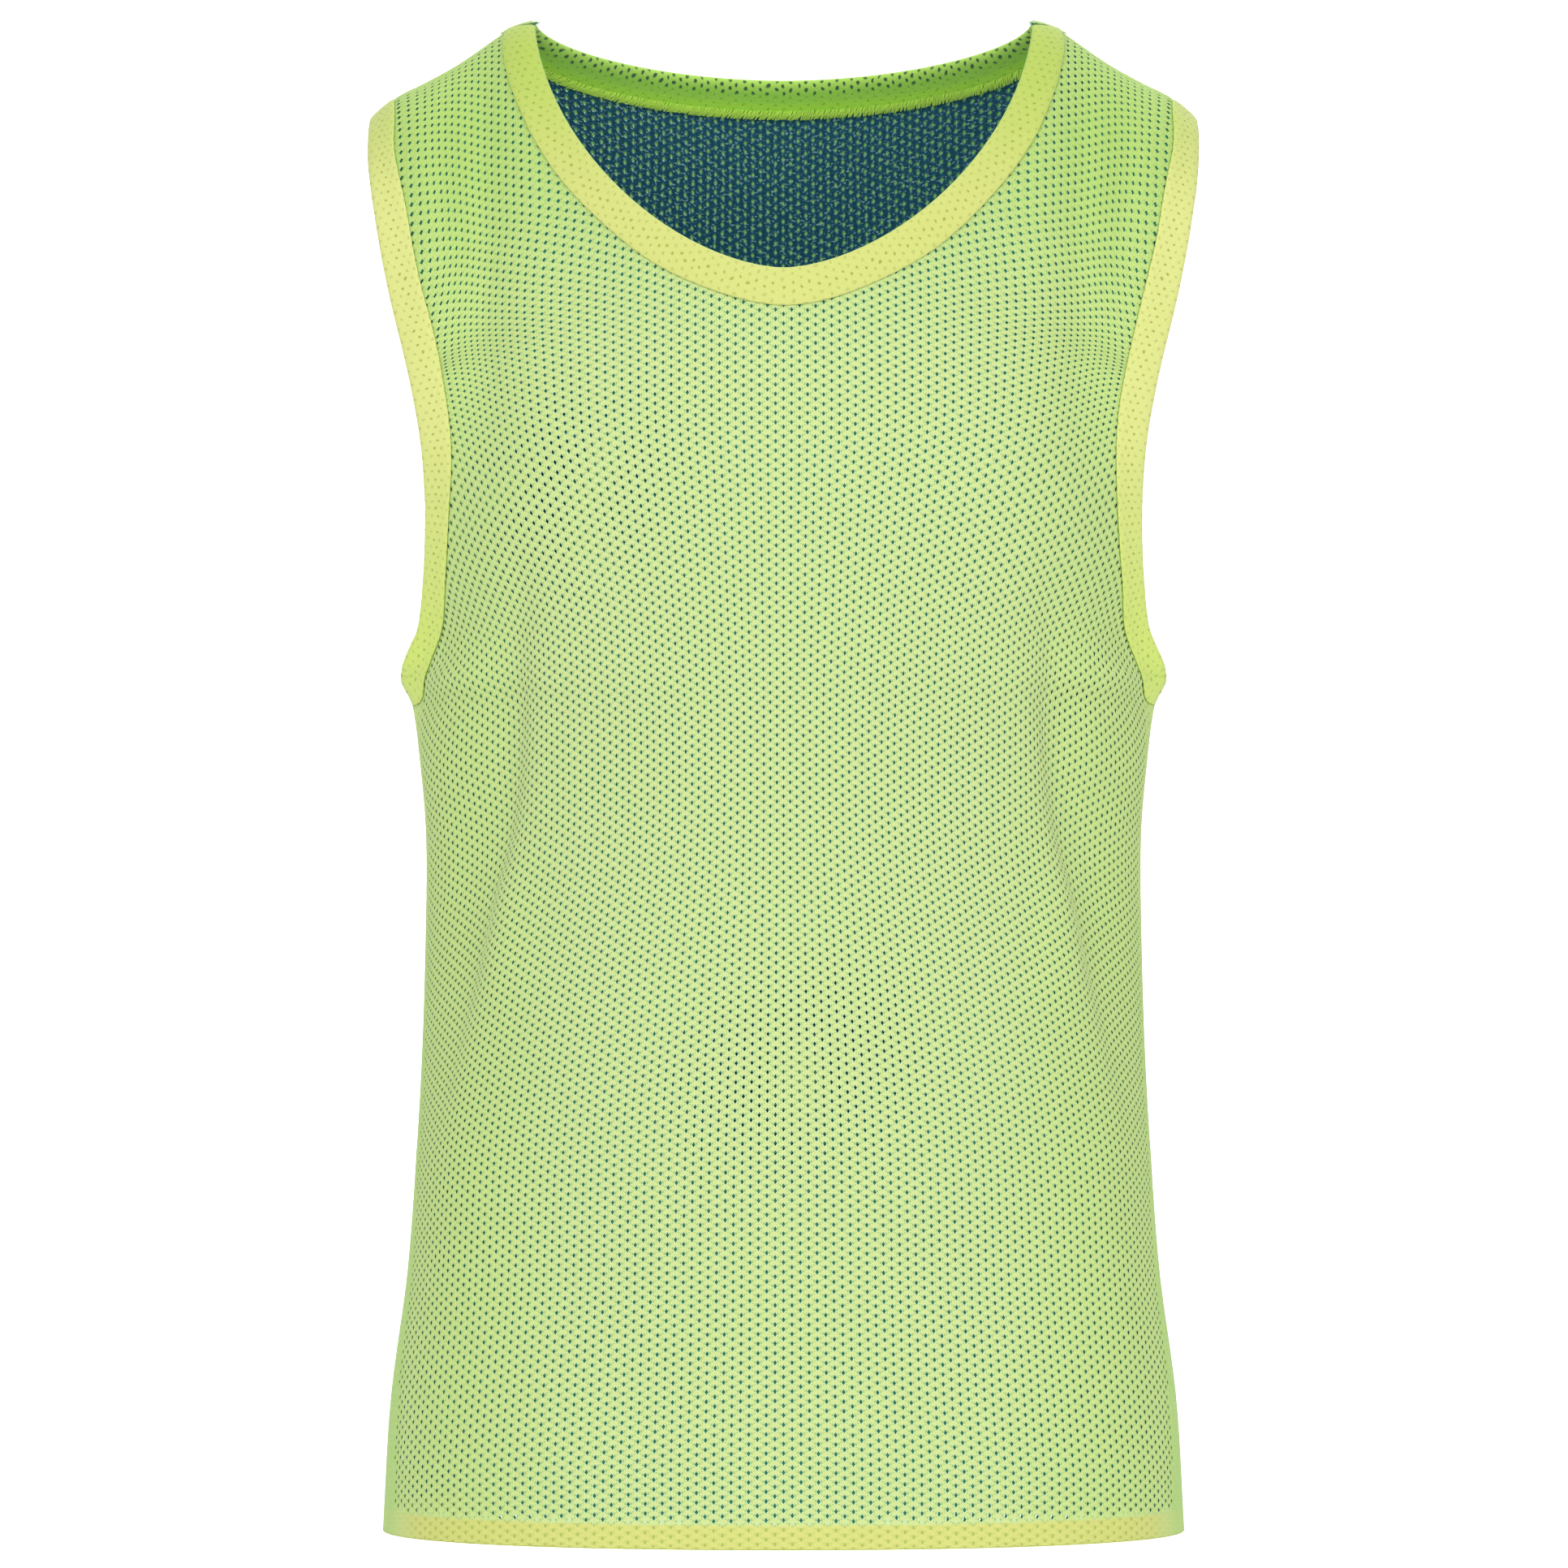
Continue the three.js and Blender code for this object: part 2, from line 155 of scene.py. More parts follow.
def look_up(grid, row, column):
    """Reads a grid between its places. row and column run from 0 to 1."""
    y = np.clip(row, 0, 1) * (grid.shape[0] - 1)
    x = np.clip(column, 0, 1) * (grid.shape[1] - 1)
    j, i = np.minimum(y.astype(int), grid.shape[0] - 2), np.minimum(x.astype(int), grid.shape[1] - 2)
    v, u = y - j, x - i
    low = grid[j, i] * (1 - u) + grid[j, i + 1] * u
    high = grid[j + 1, i] * (1 - u) + grid[j + 1, i + 1] * u
    return low * (1 - v) + high * v

# %% [markdown]
# ## From the flat pattern to the body
#
# Cloth is cut flat and then worn. So every piece here is first laid out on the flat, where `a` is the
# distance from the centre line and `h` the height above the chest line, both in millimetres of cloth. One
# function then carries each point on to the bag. Holes and stitches keep their true size that way, and the
# cut follows the straight grain as it does on the real bib.

# %% Level ovals, measured along the cloth
LEVELS = np.linspace(HEM_Z - 12, CHEST_Z, 260)
SHARES = np.linspace(0, 1, 401)
quarter_x, quarter_y, quarter_long = {}, {}, {}
angles = np.linspace(0, math.pi / 2, 721)
for face in (FRONT, BACK):
    wide = smooth(SECTIONS, 1, LEVELS)[:, None]
    deep = smooth(SECTIONS, 2 if face == FRONT else 3, LEVELS)[:, None]
    power = 2 / smooth(SECTIONS, 4, LEVELS)[:, None]
    xs, ys = wide * np.sin(angles) ** power, face * deep * np.abs(np.cos(angles)) ** power
    ys[:, -1] = 0
    steps = np.hypot(np.diff(xs), np.diff(ys))
    along = np.hstack([np.zeros((len(LEVELS), 1)), np.cumsum(steps, 1)])
    quarter_long[face] = along[:, -1:]
    quarter_x[face] = np.array([np.interp(SHARES, s / s[-1], x) for s, x in zip(along, xs)])
    quarter_y[face] = np.array([np.interp(SHARES, s / s[-1], y) for s, y in zip(along, ys)])
CHEST_LONG = {face: float(quarter_long[face][-1, 0]) for face in (FRONT, BACK)}
print("quarter of the chest, mm:", {k: round(v, 1) for k, v in CHEST_LONG.items()})

# %% The shoulder line and the arches over to it
def catmull(knots, count):
    """Points of a smooth curve through knots, closely spaced."""
    k = np.vstack([2 * knots[0] - knots[1], knots, 2 * knots[-1] - knots[-2]])
    t = np.linspace(0, len(knots) - 1, count)
    i = np.minimum(t.astype(int), len(knots) - 2)
    u = (t - i)[:, None]
    p0, p1, p2, p3 = k[i], k[i + 1], k[i + 2], k[i + 3]
    bend, twist = 2 * p0 - 5 * p1 + 4 * p2 - p3, 3 * p1 - p0 - 3 * p2 + p3
    return 0.5 * (2 * p1 + (p2 - p0) * u + bend * u**2 + twist * u**3)


neck_x, neck_z = SHOULDER[0]
over = np.linspace(0, 1, 200, endpoint=False)
over_neck = np.stack([neck_x * over, neck_z + (NECK_RIDGE_Z - neck_z) * (1 - over**2) ** 2], 1)
shoulder = catmull(np.array(SHOULDER, float), 200)
ridge = np.vstack([over_neck, shoulder])
ridge_along = run_along(ridge)
NECK_AT = neck_x / CHEST_LONG[FRONT]
neck_along = ridge_along[len(over_neck)]


def ridge_at(share):
    """The point of the closing line that a share of the chest's quarter meets."""
    before = share / NECK_AT * neck_along
    after = neck_along + (share - NECK_AT) / (1 - NECK_AT) * (ridge_along[-1] - neck_along)
    s = np.where(share < NECK_AT, before, after)
    return np.interp(s, ridge_along, ridge[:, 0]), np.interp(s, ridge_along, ridge[:, 1])


def step_between(low, high, value):
    """A soft step from 0 to 1."""
    t = np.clip((value - low) / (high - low), 0, 1)
    return t * t * (3 - 2 * t)


def arch(face, share, lift):
    """A point of the arch above the chest line, at lift 0, up to the shoulder line, at lift 1."""
    base_x = look_up(quarter_x[face], np.ones_like(share), share)
    base_y = look_up(quarter_y[face], np.ones_like(share), share)
    top_x, top_z = ridge_at(share)
    angle = (1 - lift) * math.pi / 2
    down = 1 - np.cos(angle)
    distance = share * CHEST_LONG[face]
    full = step_between(STRAP_FROM, STRAP_TO, distance)
    full = full * (1 - step_between(STRAP_END, CHEST_LONG[face], distance))
    y = base_y * np.sin(angle) + face * full * STRAP_FULLNESS * np.sin(2 * angle)
    return top_x + (base_x - top_x) * down**1.4, y, top_z + (CHEST_Z - top_z) * down


LIFTS = np.linspace(0, 1, 241)
arch_long, arch_lift = {}, {}
for face in (FRONT, BACK):
    share, lift = np.meshgrid(SHARES[::4], LIFTS, indexing="ij")
    points = np.stack(arch(face, share, lift), -1)
    steps = np.linalg.norm(np.diff(points, axis=1), axis=2)
    run = np.hstack([np.zeros((len(share), 1)), np.cumsum(steps, 1)])
    arch_long[face] = run[:, -1]
    arch_lift[face] = np.array([np.interp(LIFTS, r / r[-1], LIFTS) for r in run])
print("cloth from chest to shoulder, mm:", [round(float(arch_long[FRONT][i])) for i in (0, 50, 80)])

# %% [markdown]
# ## Soft creases
#
# This cloth is light and springy, so it has no sharp folds. The largest trough, which falls from under each
# armhole, is in the solids already. Here come the slighter ones, each a soft trough or ridge along a short
# line. They are placed one by one and differ a little from side to side.

# %% Creases, as lines on the flat pattern
CREASES = [
    # face, a and h of one end, a and h of the other, reach to each side, height outwards
    (FRONT, 118, -52, 142, -150, 13, -1.6),
    (FRONT, -120, -40, -140, -146, 14, -1.8),
    (FRONT, 152, -110, 136, -210, 12, 2.0),
    (FRONT, -150, -118, -139, -205, 12, 1.8),
    (FRONT, 104, 18, 122, -30, 24, 2.2),
    (FRONT, -106, 20, -124, -26, 24, 2.2),
    (FRONT, 72, -400, 58, -448, 17, -1.6),
    (FRONT, -70, -404, -60, -450, 18, -1.7),
    (FRONT, -6, -330, 4, -300, 30, 1.5),
    (FRONT, 104, -300, 96, -345, 22, -1.3),
    (FRONT, -106, -296, -98, -350, 22, -1.4),
    (FRONT, 170, -360, 160, -300, 14, 1.2),
    (FRONT, -172, -350, -161, -296, 14, 1.2),
    (BACK, 110, -40, 132, -170, 15, -3.0),
    (BACK, -112, -52, -130, -160, 15, -2.7),
    (BACK, 138, -110, 120, -240, 16, 2.0),
    (BACK, -140, -96, -124, -250, 16, 2.2),
    (BACK, 12, -210, -6, -330, 34, -2.4),
    (BACK, 66, -380, 52, -446, 20, -1.8),
    (BACK, -58, -372, -66, -448, 22, -1.6),
    (BACK, 30, 110, 64, 60, 24, 1.6),
    (BACK, -30, 112, -66, 56, 24, 1.6),
]


def relief(face, a, h):
    """How far the creases lift the cloth at a place."""
    rise = np.zeros_like(a)
    for side, a0, h0, a1, h1, reach, height in CREASES:
        along = np.array([a1 - a0, h1 - h0], float)
        t = ((a - a0) * along[0] + (h - h0) * along[1]) / (along @ along)
        off = np.hypot(a - a0 - np.clip(t, 0, 1) * along[0], h - h0 - np.clip(t, 0, 1) * along[1])
        rise += np.where(face == side, height * np.exp(-0.5 * (off / reach) ** 2), 0)
    return rise


def level_at(h):
    """Place of a height in the stack of ovals, from 0 to 1. All above the chest line counts as that line."""
    return (CHEST_Z + np.minimum(h, 0) - LEVELS[0]) / (LEVELS[-1] - LEVELS[0])


def side_at(face, h):
    """Distance from the centre line to the side line at a height."""
    level = level_at(h)
    return look_up(np.hstack([quarter_long[face]] * 2), level, np.zeros_like(level))


def own_side(face, h):
    """The same for places that each have their own face."""
    return np.where(face == FRONT, side_at(FRONT, h), side_at(BACK, h))


def top_at(face, a):
    """Height of the shoulder line over the chest line at a distance from the centre line."""
    return np.interp(np.abs(a) / CHEST_LONG[face], SHARES[::4], arch_long[face])


def armhole_edge(face):
    """The armhole's cut edge from the side line up, as distances from the centre line and heights."""
    column = 1 if face == FRONT else 2
    knots = []
    for row in ARMHOLE_BODY:
        h = row[0] - CHEST_Z
        knots.append((row[column] * float(side_at(face, np.array([h]))[0]), h))
    for row in ARMHOLE_STRAP:
        share = row[column]
        lifts = look_up(arch_lift[face], np.full_like(LIFTS, share), LIFTS)
        far = np.interp(row[0], lifts, LIFTS)
        a = share * CHEST_LONG[face]
        knots.append((a, far * float(top_at(face, np.array([a]))[0])))
    return np.array(knots)


ARM_LINES = {face: catmull(armhole_edge(face), 160) for face in (FRONT, BACK)}

# %% Cloth turned to the front beside the armholes
EDGE_TURN = [
    # height on the pattern, how far the cloth beside the armhole gives way to the middle
    (-115, 0),
    (-100, 3),
    (-88, 8),
    (-76, 12),
    (-66, 11.5),
    (-53, 9),
    (-30, 5),
    (0, 6),
    (60, 9),
    (120, 11.5),
    (170, 12),
    (240, 10),
]
EDGE_SOFT, EDGE_REACH = 12, 45  # mm from the cut edge in which the turn sets in, and to which it reaches
EDGE_RISE = 0.33  # share by which it also rises on the strap
RISE_FROM, RISE_TO = 70, 160  # heights on the pattern between which the rise sets in


def edge_turn(face, size, h):
    """How far the cloth beside the armhole lies towards the middle, which turns the binding to the front."""
    arm = ARM_LINES[face]
    cut = np.where(h < arm[0, 1], side_at(face, h), np.interp(h, arm[:, 1], arm[:, 0]))
    inwards = np.maximum(cut - size, 0)
    amount = np.maximum(smooth(EDGE_TURN, 1, h), 0) * (h > EDGE_TURN[0][0])
    return amount * (1 - np.exp(-inwards / EDGE_SOFT)) * np.exp(-((inwards / EDGE_REACH) ** 2))


def on_bag(face, a, h):
    """Carries flat points of one face on to the bag, in millimetres."""
    size, way = np.abs(a), np.where(a < 0, -1.0, 1.0)
    z, level = CHEST_Z + np.minimum(h, 0), level_at(h)
    share = size / side_at(face, h)
    x, y = look_up(quarter_x[face], level, share), look_up(quarter_y[face], level, share)
    steep = np.where(size < smooth(FOLDS, 1, z), FOLD_STEEP, FOLD_EASY)
    depth = np.where((z < FOLDS[0][0]) & (z > FOLDS[-1][0]), np.maximum(smooth(FOLDS, 2, z), 0), 0)
    depth = depth * np.exp(-0.5 * ((size - smooth(FOLDS, 1, z)) / steep) ** 2)
    out = np.hypot(x, y) + 1e-9
    x, y = x - depth * x / out, y - depth * y / out
    high = h > 0
    lift = look_up(arch_lift[face], size / CHEST_LONG[face], h / top_at(face, a))
    ax, ay, az = arch(face, np.minimum(size / CHEST_LONG[face], 1), lift)
    turned_in = edge_turn(face, size, h)
    az = az + turned_in * EDGE_RISE * step_between(RISE_FROM, RISE_TO, h)
    x, y, z = np.where(high, ax, x), np.where(high, ay, y), np.where(high, az, z)
    return np.stack([(x - turned_in) * way, y, z], -1)


NEAR = 0.8  # mm to each of the four places from which the direction out of the cloth is taken


def worn(face, a, h, w=0.0):
    """Carries flat points on to the worn bib: a across, h up and w out of the cloth. The result is in metres.

    A point past the side line or the shoulder line goes on to the other face."""
    face, a, h, w = np.broadcast_arrays(face, np.asarray(a, float), np.asarray(h, float), w)
    where = np.zeros(face.shape + (3,))
    for this in (FRONT, BACK):
        other = -this
        reach = side_at(this, h)
        past_side = (face == this) & (np.abs(a) > reach + 1e-6)
        past_top = (face == this) & (h > top_at(this, a) + 1e-6) & ~past_side
        a = np.where(past_side, np.sign(a) * (reach + side_at(other, h) - np.abs(a)), a)
        h = np.where(past_top, top_at(this, a) + top_at(other, a) - h, h)
        # A place that has gone over is marked tenfold, so that it isn't carried back.
        face = np.where(past_side | past_top, other * 10, face)
    face = np.where(np.abs(face) > 1, face // 10, face)
    for this in (FRONT, BACK):
        own = face == this
        if not own.any():
            continue
        u, v, out = a[own], h[own], w[own]
        reach, top = side_at(this, v), top_at(this, u)
        right = on_bag(this, np.clip(u + NEAR, -reach, reach), v)
        left = on_bag(this, np.clip(u - NEAR, -reach, reach), v)
        up = on_bag(this, u, np.minimum(v + NEAR, top))
        below = on_bag(this, u, np.minimum(v, top) - NEAR)
        normal = np.cross(right - left, up - below) * -this
        normal /= np.linalg.norm(normal, axis=1)[:, None] + 1e-12
        where[own] = on_bag(this, u, v) + normal * (out + relief(this, u, v))[:, None]
    return where / 1000


def neck_height(face, a):
    """Height on the flat pattern at which the neckline crosses a distance from the centre line."""
    drop, power = NECK[face]
    low, high = np.zeros_like(a), top_at(face, a)
    for _ in range(40):
        middle = (low + high) / 2
        point = on_bag(face, a, middle)
        across = np.minimum(np.abs(point[:, 0]) / neck_x, 1)
        under = point[:, 2] < neck_z - drop * (1 - across**power) ** (1 / power)
        low, high = np.where(under, middle, low), np.where(under, high, middle)
    return low


lowest_neck = worn(FRONT, 0, neck_height(FRONT, np.zeros(1)))[0, 2]
print("front neck below the shoulder, mm:", round(neck_z - 1000 * float(lowest_neck)))

# %% [markdown]
# ## A small language for node trees
#
# Materials and Geometry Nodes are both trees of nodes. One small class lets us write their sums as plain
# Python, and one function adds any other node: its settings first, then its inputs.

# %% Sockets that add and multiply
class Value:
    """One output of a node, which plain arithmetic turns into Math nodes."""

    def __init__(self, tree, socket):
        self.tree, self.socket = tree, socket

    def math(self, operation, *others, swap=False):
        inputs = [*others, self] if swap else [self, *others]
        return add_node(self.tree, "ShaderNodeMath", {"operation": operation}, inputs)

    def __add__(self, other):
        return self.math("ADD", other)

    def __sub__(self, other):
        return self.math("SUBTRACT", other)

    def __mul__(self, other):
        return self.math("MULTIPLY", other)

    def __truediv__(self, other):
        return self.math("DIVIDE", other)

    def __rsub__(self, other):
        return self.math("SUBTRACT", other, swap=True)

    def __neg__(self):
        return self.math("MULTIPLY", -1.0)

    def part(self, name):
        """Another output of the same node."""
        return Value(self.tree, self.socket.node.outputs[name])


def add_node(tree, kind, settings=None, inputs=(), output=0):
    """Adds a node with its settings, then its inputs, by place or by name, as values or as links."""
    made = tree.nodes.new(kind)
    for name, setting in (settings or {}).items():
        setattr(made, name, setting)
    pairs = inputs.items() if isinstance(inputs, dict) else enumerate(inputs)
    for key, value in pairs:
        if isinstance(value, Value):
            tree.links.new(value.socket, made.inputs[key])
        else:
            made.inputs[key].default_value = value
    return Value(tree, made.outputs[output])


def tree_with(name, sizes, result):
    """A new Geometry Nodes tree that takes cloth, named sizes and a material, with those inputs as values."""
    tree = bpy.data.node_groups.new(name, "GeometryNodeTree")
    sockets = tree.interface
    sockets.new_socket("Cloth", in_out="INPUT", socket_type="NodeSocketGeometry")
    for size, value in sizes.items():
        sockets.new_socket(size, in_out="INPUT", socket_type="NodeSocketFloat").default_value = value
    sockets.new_socket("Material", in_out="INPUT", socket_type="NodeSocketMaterial")
    sockets.new_socket(result, in_out="OUTPUT", socket_type="NodeSocketGeometry")
    given = tree.nodes.new("NodeGroupInput")
    return tree, [Value(tree, socket) for socket in list(given.outputs)[: len(sizes) + 2]]


def end_tree(tree, geometry, material, result):
    """Ends a tree: makes the geometry real, gives it its material and hands it out."""
    real = add_node(tree, "GeometryNodeRealizeInstances", {}, {"Geometry": geometry})
    finished = add_node(tree, "GeometryNodeSetMaterial", {}, {"Geometry": real, "Material": material})
    tree.links.new(finished.socket, tree.nodes.new("NodeGroupOutput").inputs[result])
    return tree

# %% [markdown]
# ## The net
#
# Mesh cloth for bibs is knitted with small openings in staggered columns. Each opening sits in a diamond of
# cloth, so a panel starts as a flat net of diamonds, cut to the pattern piece. Geometry Nodes then open
# each diamond: a face is extruded in place, its copy is shrunk and narrowed to the opening, and the copy is
# deleted. Real openings show the second layer and the light behind them, which no painted dot does.

# %% Geometry Nodes that open the holes
COLUMN = 3.4  # mm between columns of holes
ROW = 2.12  # mm between rows, every second hole of a column is left out
HOLE_TALL, HOLE_TALL_INSIDE, HOLE_WIDE = 0.56, 0.5, 0.4  # shares of a diamond, and of that height
RIM_SINKS = 0.0004  # metres


def perforation_tree():
    """A tree that opens each face marked "open" and sinks the rim of the opening."""
    sizes = {"Hole height": HOLE_TALL, "Hole narrowing": HOLE_WIDE, "Rim sinks": RIM_SINKS}
    tree, (cloth, tall, narrow, sinks, material) = tree_with("perforate", sizes, "Net")
    marked = add_node(tree, "GeometryNodeInputNamedAttribute", {"data_type": "BOOLEAN"}, {"Name": "open"})
    extruded = add_node(
        tree,
        "GeometryNodeExtrudeMesh",
        {"mode": "FACES"},
        {"Mesh": cloth, "Selection": marked, "Offset Scale": 0.0, "Individual": True},
    )
    top = extruded.part("Top")
    shrunk = add_node(
        tree,
        "GeometryNodeScaleElements",
        {"domain": "FACE", "scale_mode": "UNIFORM"},
        {"Geometry": extruded, "Selection": top, "Scale": tall},
    )
    narrowed = add_node(
        tree,
        "GeometryNodeScaleElements",
        {"domain": "FACE", "scale_mode": "SINGLE_AXIS"},
        {"Geometry": shrunk, "Selection": top, "Scale": narrow, "Axis": (1, 0, 0)},
    )
    down = add_node(tree, "ShaderNodeCombineXYZ", {}, {"Z": -sinks})
    moved = {"Geometry": narrowed, "Selection": top, "Offset": down}
    sunk = add_node(tree, "GeometryNodeSetPosition", {}, moved)
    rest = {"Geometry": sunk, "Selection": top}
    opened = add_node(tree, "GeometryNodeDeleteGeometry", {"domain": "FACE"}, rest)
    smoothed = add_node(tree, "GeometryNodeSetShadeSmooth", {}, {"Geometry": opened})
    return end_tree(tree, smoothed, material, "Net")


def new_piece(name, points, faces, material=None):
    """A piece in the scene, from its points in metres and its faces."""
    mesh = bpy.data.meshes.new(name)
    mesh.from_pydata(points, [], faces)
    if material:
        mesh.materials.append(material)
    piece = bpy.data.objects.new(name, mesh)
    bpy.context.scene.collection.objects.link(piece)
    return piece


def points_of(mesh):
    """The mesh's points, as an array with a row for each."""
    points = np.empty(len(mesh.vertices) * 3, np.float32)
    mesh.vertices.foreach_get("co", points)
    return points.reshape(-1, 3).astype(float)


def move_points(mesh, points):
    """Puts the mesh's points at new places."""
    mesh.vertices.foreach_set("co", points.astype(np.float32).ravel())
    mesh.update()


def run_nodes(obj, tree, values):
    """Runs a tree on an object with named input values, and keeps the result as a plain mesh."""
    modifier = obj.modifiers.new(tree.name, "NODES")
    modifier.node_group = tree
    for item in tree.interface.items_tree:
        if item.item_type == "SOCKET" and item.in_out == "INPUT" and item.name in values:
            modifier[item.identifier] = values[item.name]
    evaluated = obj.evaluated_get(bpy.context.evaluated_depsgraph_get())
    plain = bpy.data.meshes.new_from_object(evaluated)
    obj.modifiers.remove(modifier)
    old, obj.data = obj.data, plain
    bpy.data.meshes.remove(old)
    plain.name = obj.name
    return plain


perforate = perforation_tree()
print("tree:", perforate.name, len(perforate.nodes), "nodes")

# %% Edges of the cut on the flat pattern
def neck_edge(face, count=60):
    """The neckline from the centre line out to the shoulder line."""
    a = NECK_AT * CHEST_LONG[face] * np.sin(np.linspace(0, math.pi / 2, count))
    return np.stack([a, neck_height(face, a)], 1)


def distance_to(line, points):
    """Shortest distance from points to a line of points."""
    best = np.full(len(points), 1e9)
    for p, q in zip(line[:-1], line[1:]):
        along = q - p
        t = np.clip((points - p) @ along / (along @ along + 1e-12), 0, 1)
        best = np.minimum(best, np.linalg.norm(points - p - t[:, None] * along, axis=1))
    return best


def into_cloth(face, a, h):
    """How far inside the cut edges of the neck and armhole a place is. It is negative in the openings."""
    points = np.stack([np.abs(a), h], 1)
    neck, arm = neck_edge(face), ARM_LINES[face]
    neck_far, arm_far = distance_to(neck, points), distance_to(arm, points)
    in_neck = (points[:, 0] < neck[-1, 0]) & (h > np.interp(points[:, 0], neck[:, 0], neck[:, 1]))
    in_arm = (h > arm[0, 1]) & (points[:, 0] > np.interp(h, arm[:, 1], arm[:, 0]))
    return np.minimum(np.where(in_neck, -neck_far, neck_far), np.where(in_arm, -arm_far, arm_far))

# %% Cut, perforate and wear one panel
HIDDEN_EDGE = 6  # mm by which the net stops short of a bound edge, under the binding
LAYER_OFF = 0.66  # mm of each layer from the middle of the pair
NET_WIDE, NET_LOW, NET_HIGH = 270, -490, 390  # mm on the pattern that the net of diamonds covers
NARROWEST = 2.9  # mm between columns where the knit is drawn in most
EDGE_GAP = 0.15  # mm by which the net stops short of the side and shoulder lines
THINNEST = 0.3  # mm under which a cut diamond is dropped
NEAR_ARMHOLES = -110  # height on the pattern under which there is no neck or armhole
SAG_TURNS = 70  # height on the pattern over which the back's rows sag to the middle
GRAIN_AT = 130  # mm from the centre line
GRAIN = [
    # height on the pattern, column to column, drop of a row at GRAIN_AT, how much wider columns are there
    (-430, 3.9, 5, 0),
    (-360, 3.75, 3, 0),
    (-285, 3.65, 4, 0),
    (-210, 3.3, 10, 0),
    (-155, 3.0, 15, 0),
    (-100, 2.95, 16, 0),
    (-45, 3.15, 15, -0.1),
    (0, 3.35, 10, 0.04),
    (35, 3.5, 6, 0.15),
    (75, 3.45, 12, 0.28),
    (115, 3.4, 26, 0.34),
    (160, 3.3, 32, 0.33),
]


def pattern_map(mesh, flat):
    """Keeps the flat pattern as the piece's own texture map, in metres."""
    corner = np.empty(len(mesh.loops), int)
    mesh.loops.foreach_get("vertex_index", corner)
    layer = mesh.uv_layers.new(name="pattern")
    layer.data.foreach_set("uv", (flat[corner, :2]).astype(np.float32).ravel())


def eased(face, u, v):
    """Where the knit's own columns and rows lie once the cloth has settled.

    It draws in at the waist, and its rows sag to the sides. Over the shoulder blades they sag to the middle.
    """
    t = np.abs(u) / GRAIN_AT
    sag = smooth(GRAIN, 2, v) * (1 - 2 * step_between(0, SAG_TURNS, v) * (face == BACK))
    a = u * smooth(GRAIN, 1, v) / COLUMN * (1 + smooth(GRAIN, 3, v) * t**2 / (1 + t**2))
    return a, v - sag * (np.abs(a) / GRAIN_AT) ** 1.5


def lay_out_panel(face, lowest, stretch, turn, shift):
    """A net of diamonds that covers one panel.

    It gives its points and faces on the knit's own grid, which faces are whole, and a function that lays grid
    points on the pattern."""
    columns, rows = int(NET_WIDE / NARROWEST), range(int(NET_LOW / ROW), int(NET_HIGH / ROW))
    centres = [(i, k) for i in range(-columns, columns + 1) for k in rows if (i + k) % 2 == 0]
    corners = np.array(centres)[:, None] + np.array([(-1, 0), (0, -1), (1, 0), (0, 1)])
    ids, faces = np.unique(corners.reshape(-1, 2), axis=0, return_inverse=True)
    faces = faces.reshape(-1, 4)
    grid = ids * np.array([COLUMN, ROW])
    cos, sin = math.cos(turn), math.sin(turn)

    def lay(points):
        u, v = points[:, 0] * stretch + shift[0], points[:, 1] * stretch + shift[1]
        a, h = eased(face, u * cos - v * sin, u * sin + v * cos)
        reach, top = side_at(face, h) - EDGE_GAP, top_at(face, a) - EDGE_GAP
        past = (np.abs(a) > reach) | (h > top) | (h < lowest)
        a = np.clip(a, -reach, reach)
        return a, np.maximum(np.minimum(h, top_at(face, a) - EDGE_GAP), lowest), past

    a, h, past = lay(grid)
    middle_a, middle_h = a[faces].mean(1), h[faces].mean(1)
    whole, inside = ~past[faces].any(1), ~past[faces].all(1)
    near = np.flatnonzero(inside & (middle_h > NEAR_ARMHOLES))
    inside[near] &= into_cloth(face, middle_a[near], middle_h[near]) > HIDDEN_EDGE
    inside &= (np.ptp(a[faces], axis=1) > THINNEST) & (np.ptp(h[faces], axis=1) > THINNEST)
    used, faces = np.unique(faces[inside], return_inverse=True)
    return grid[used], faces.reshape(-1, 4), whole[inside], lay


HEM_SHOWN = 12  # mm of the doubled hem, as its height shows from the front
PLAIN_FROM = -150  # height on the pattern at which the closed strip by the side line starts
PLAIN_WIDE = 36  # mm, its width at the hem
PLAIN_FADE = 1.3  # how far the strip's colour reaches, as a share of its width
OUTER_CUT = 0.4  # mm above the bottom edge at which the outer net ends


def strip_wide(h):
    """Width of the closed strip beside the side line."""
    return PLAIN_WIDE * np.clip((PLAIN_FROM - h) / (PLAIN_FROM - HEM_H), 0, 1) + 0.01


def keep_value(mesh, name, values):
    """Keeps one value for each vertex, for the materials."""
    mesh.attributes.new(name, "FLOAT", "POINT").data.foreach_set("value", values.astype(np.float32))


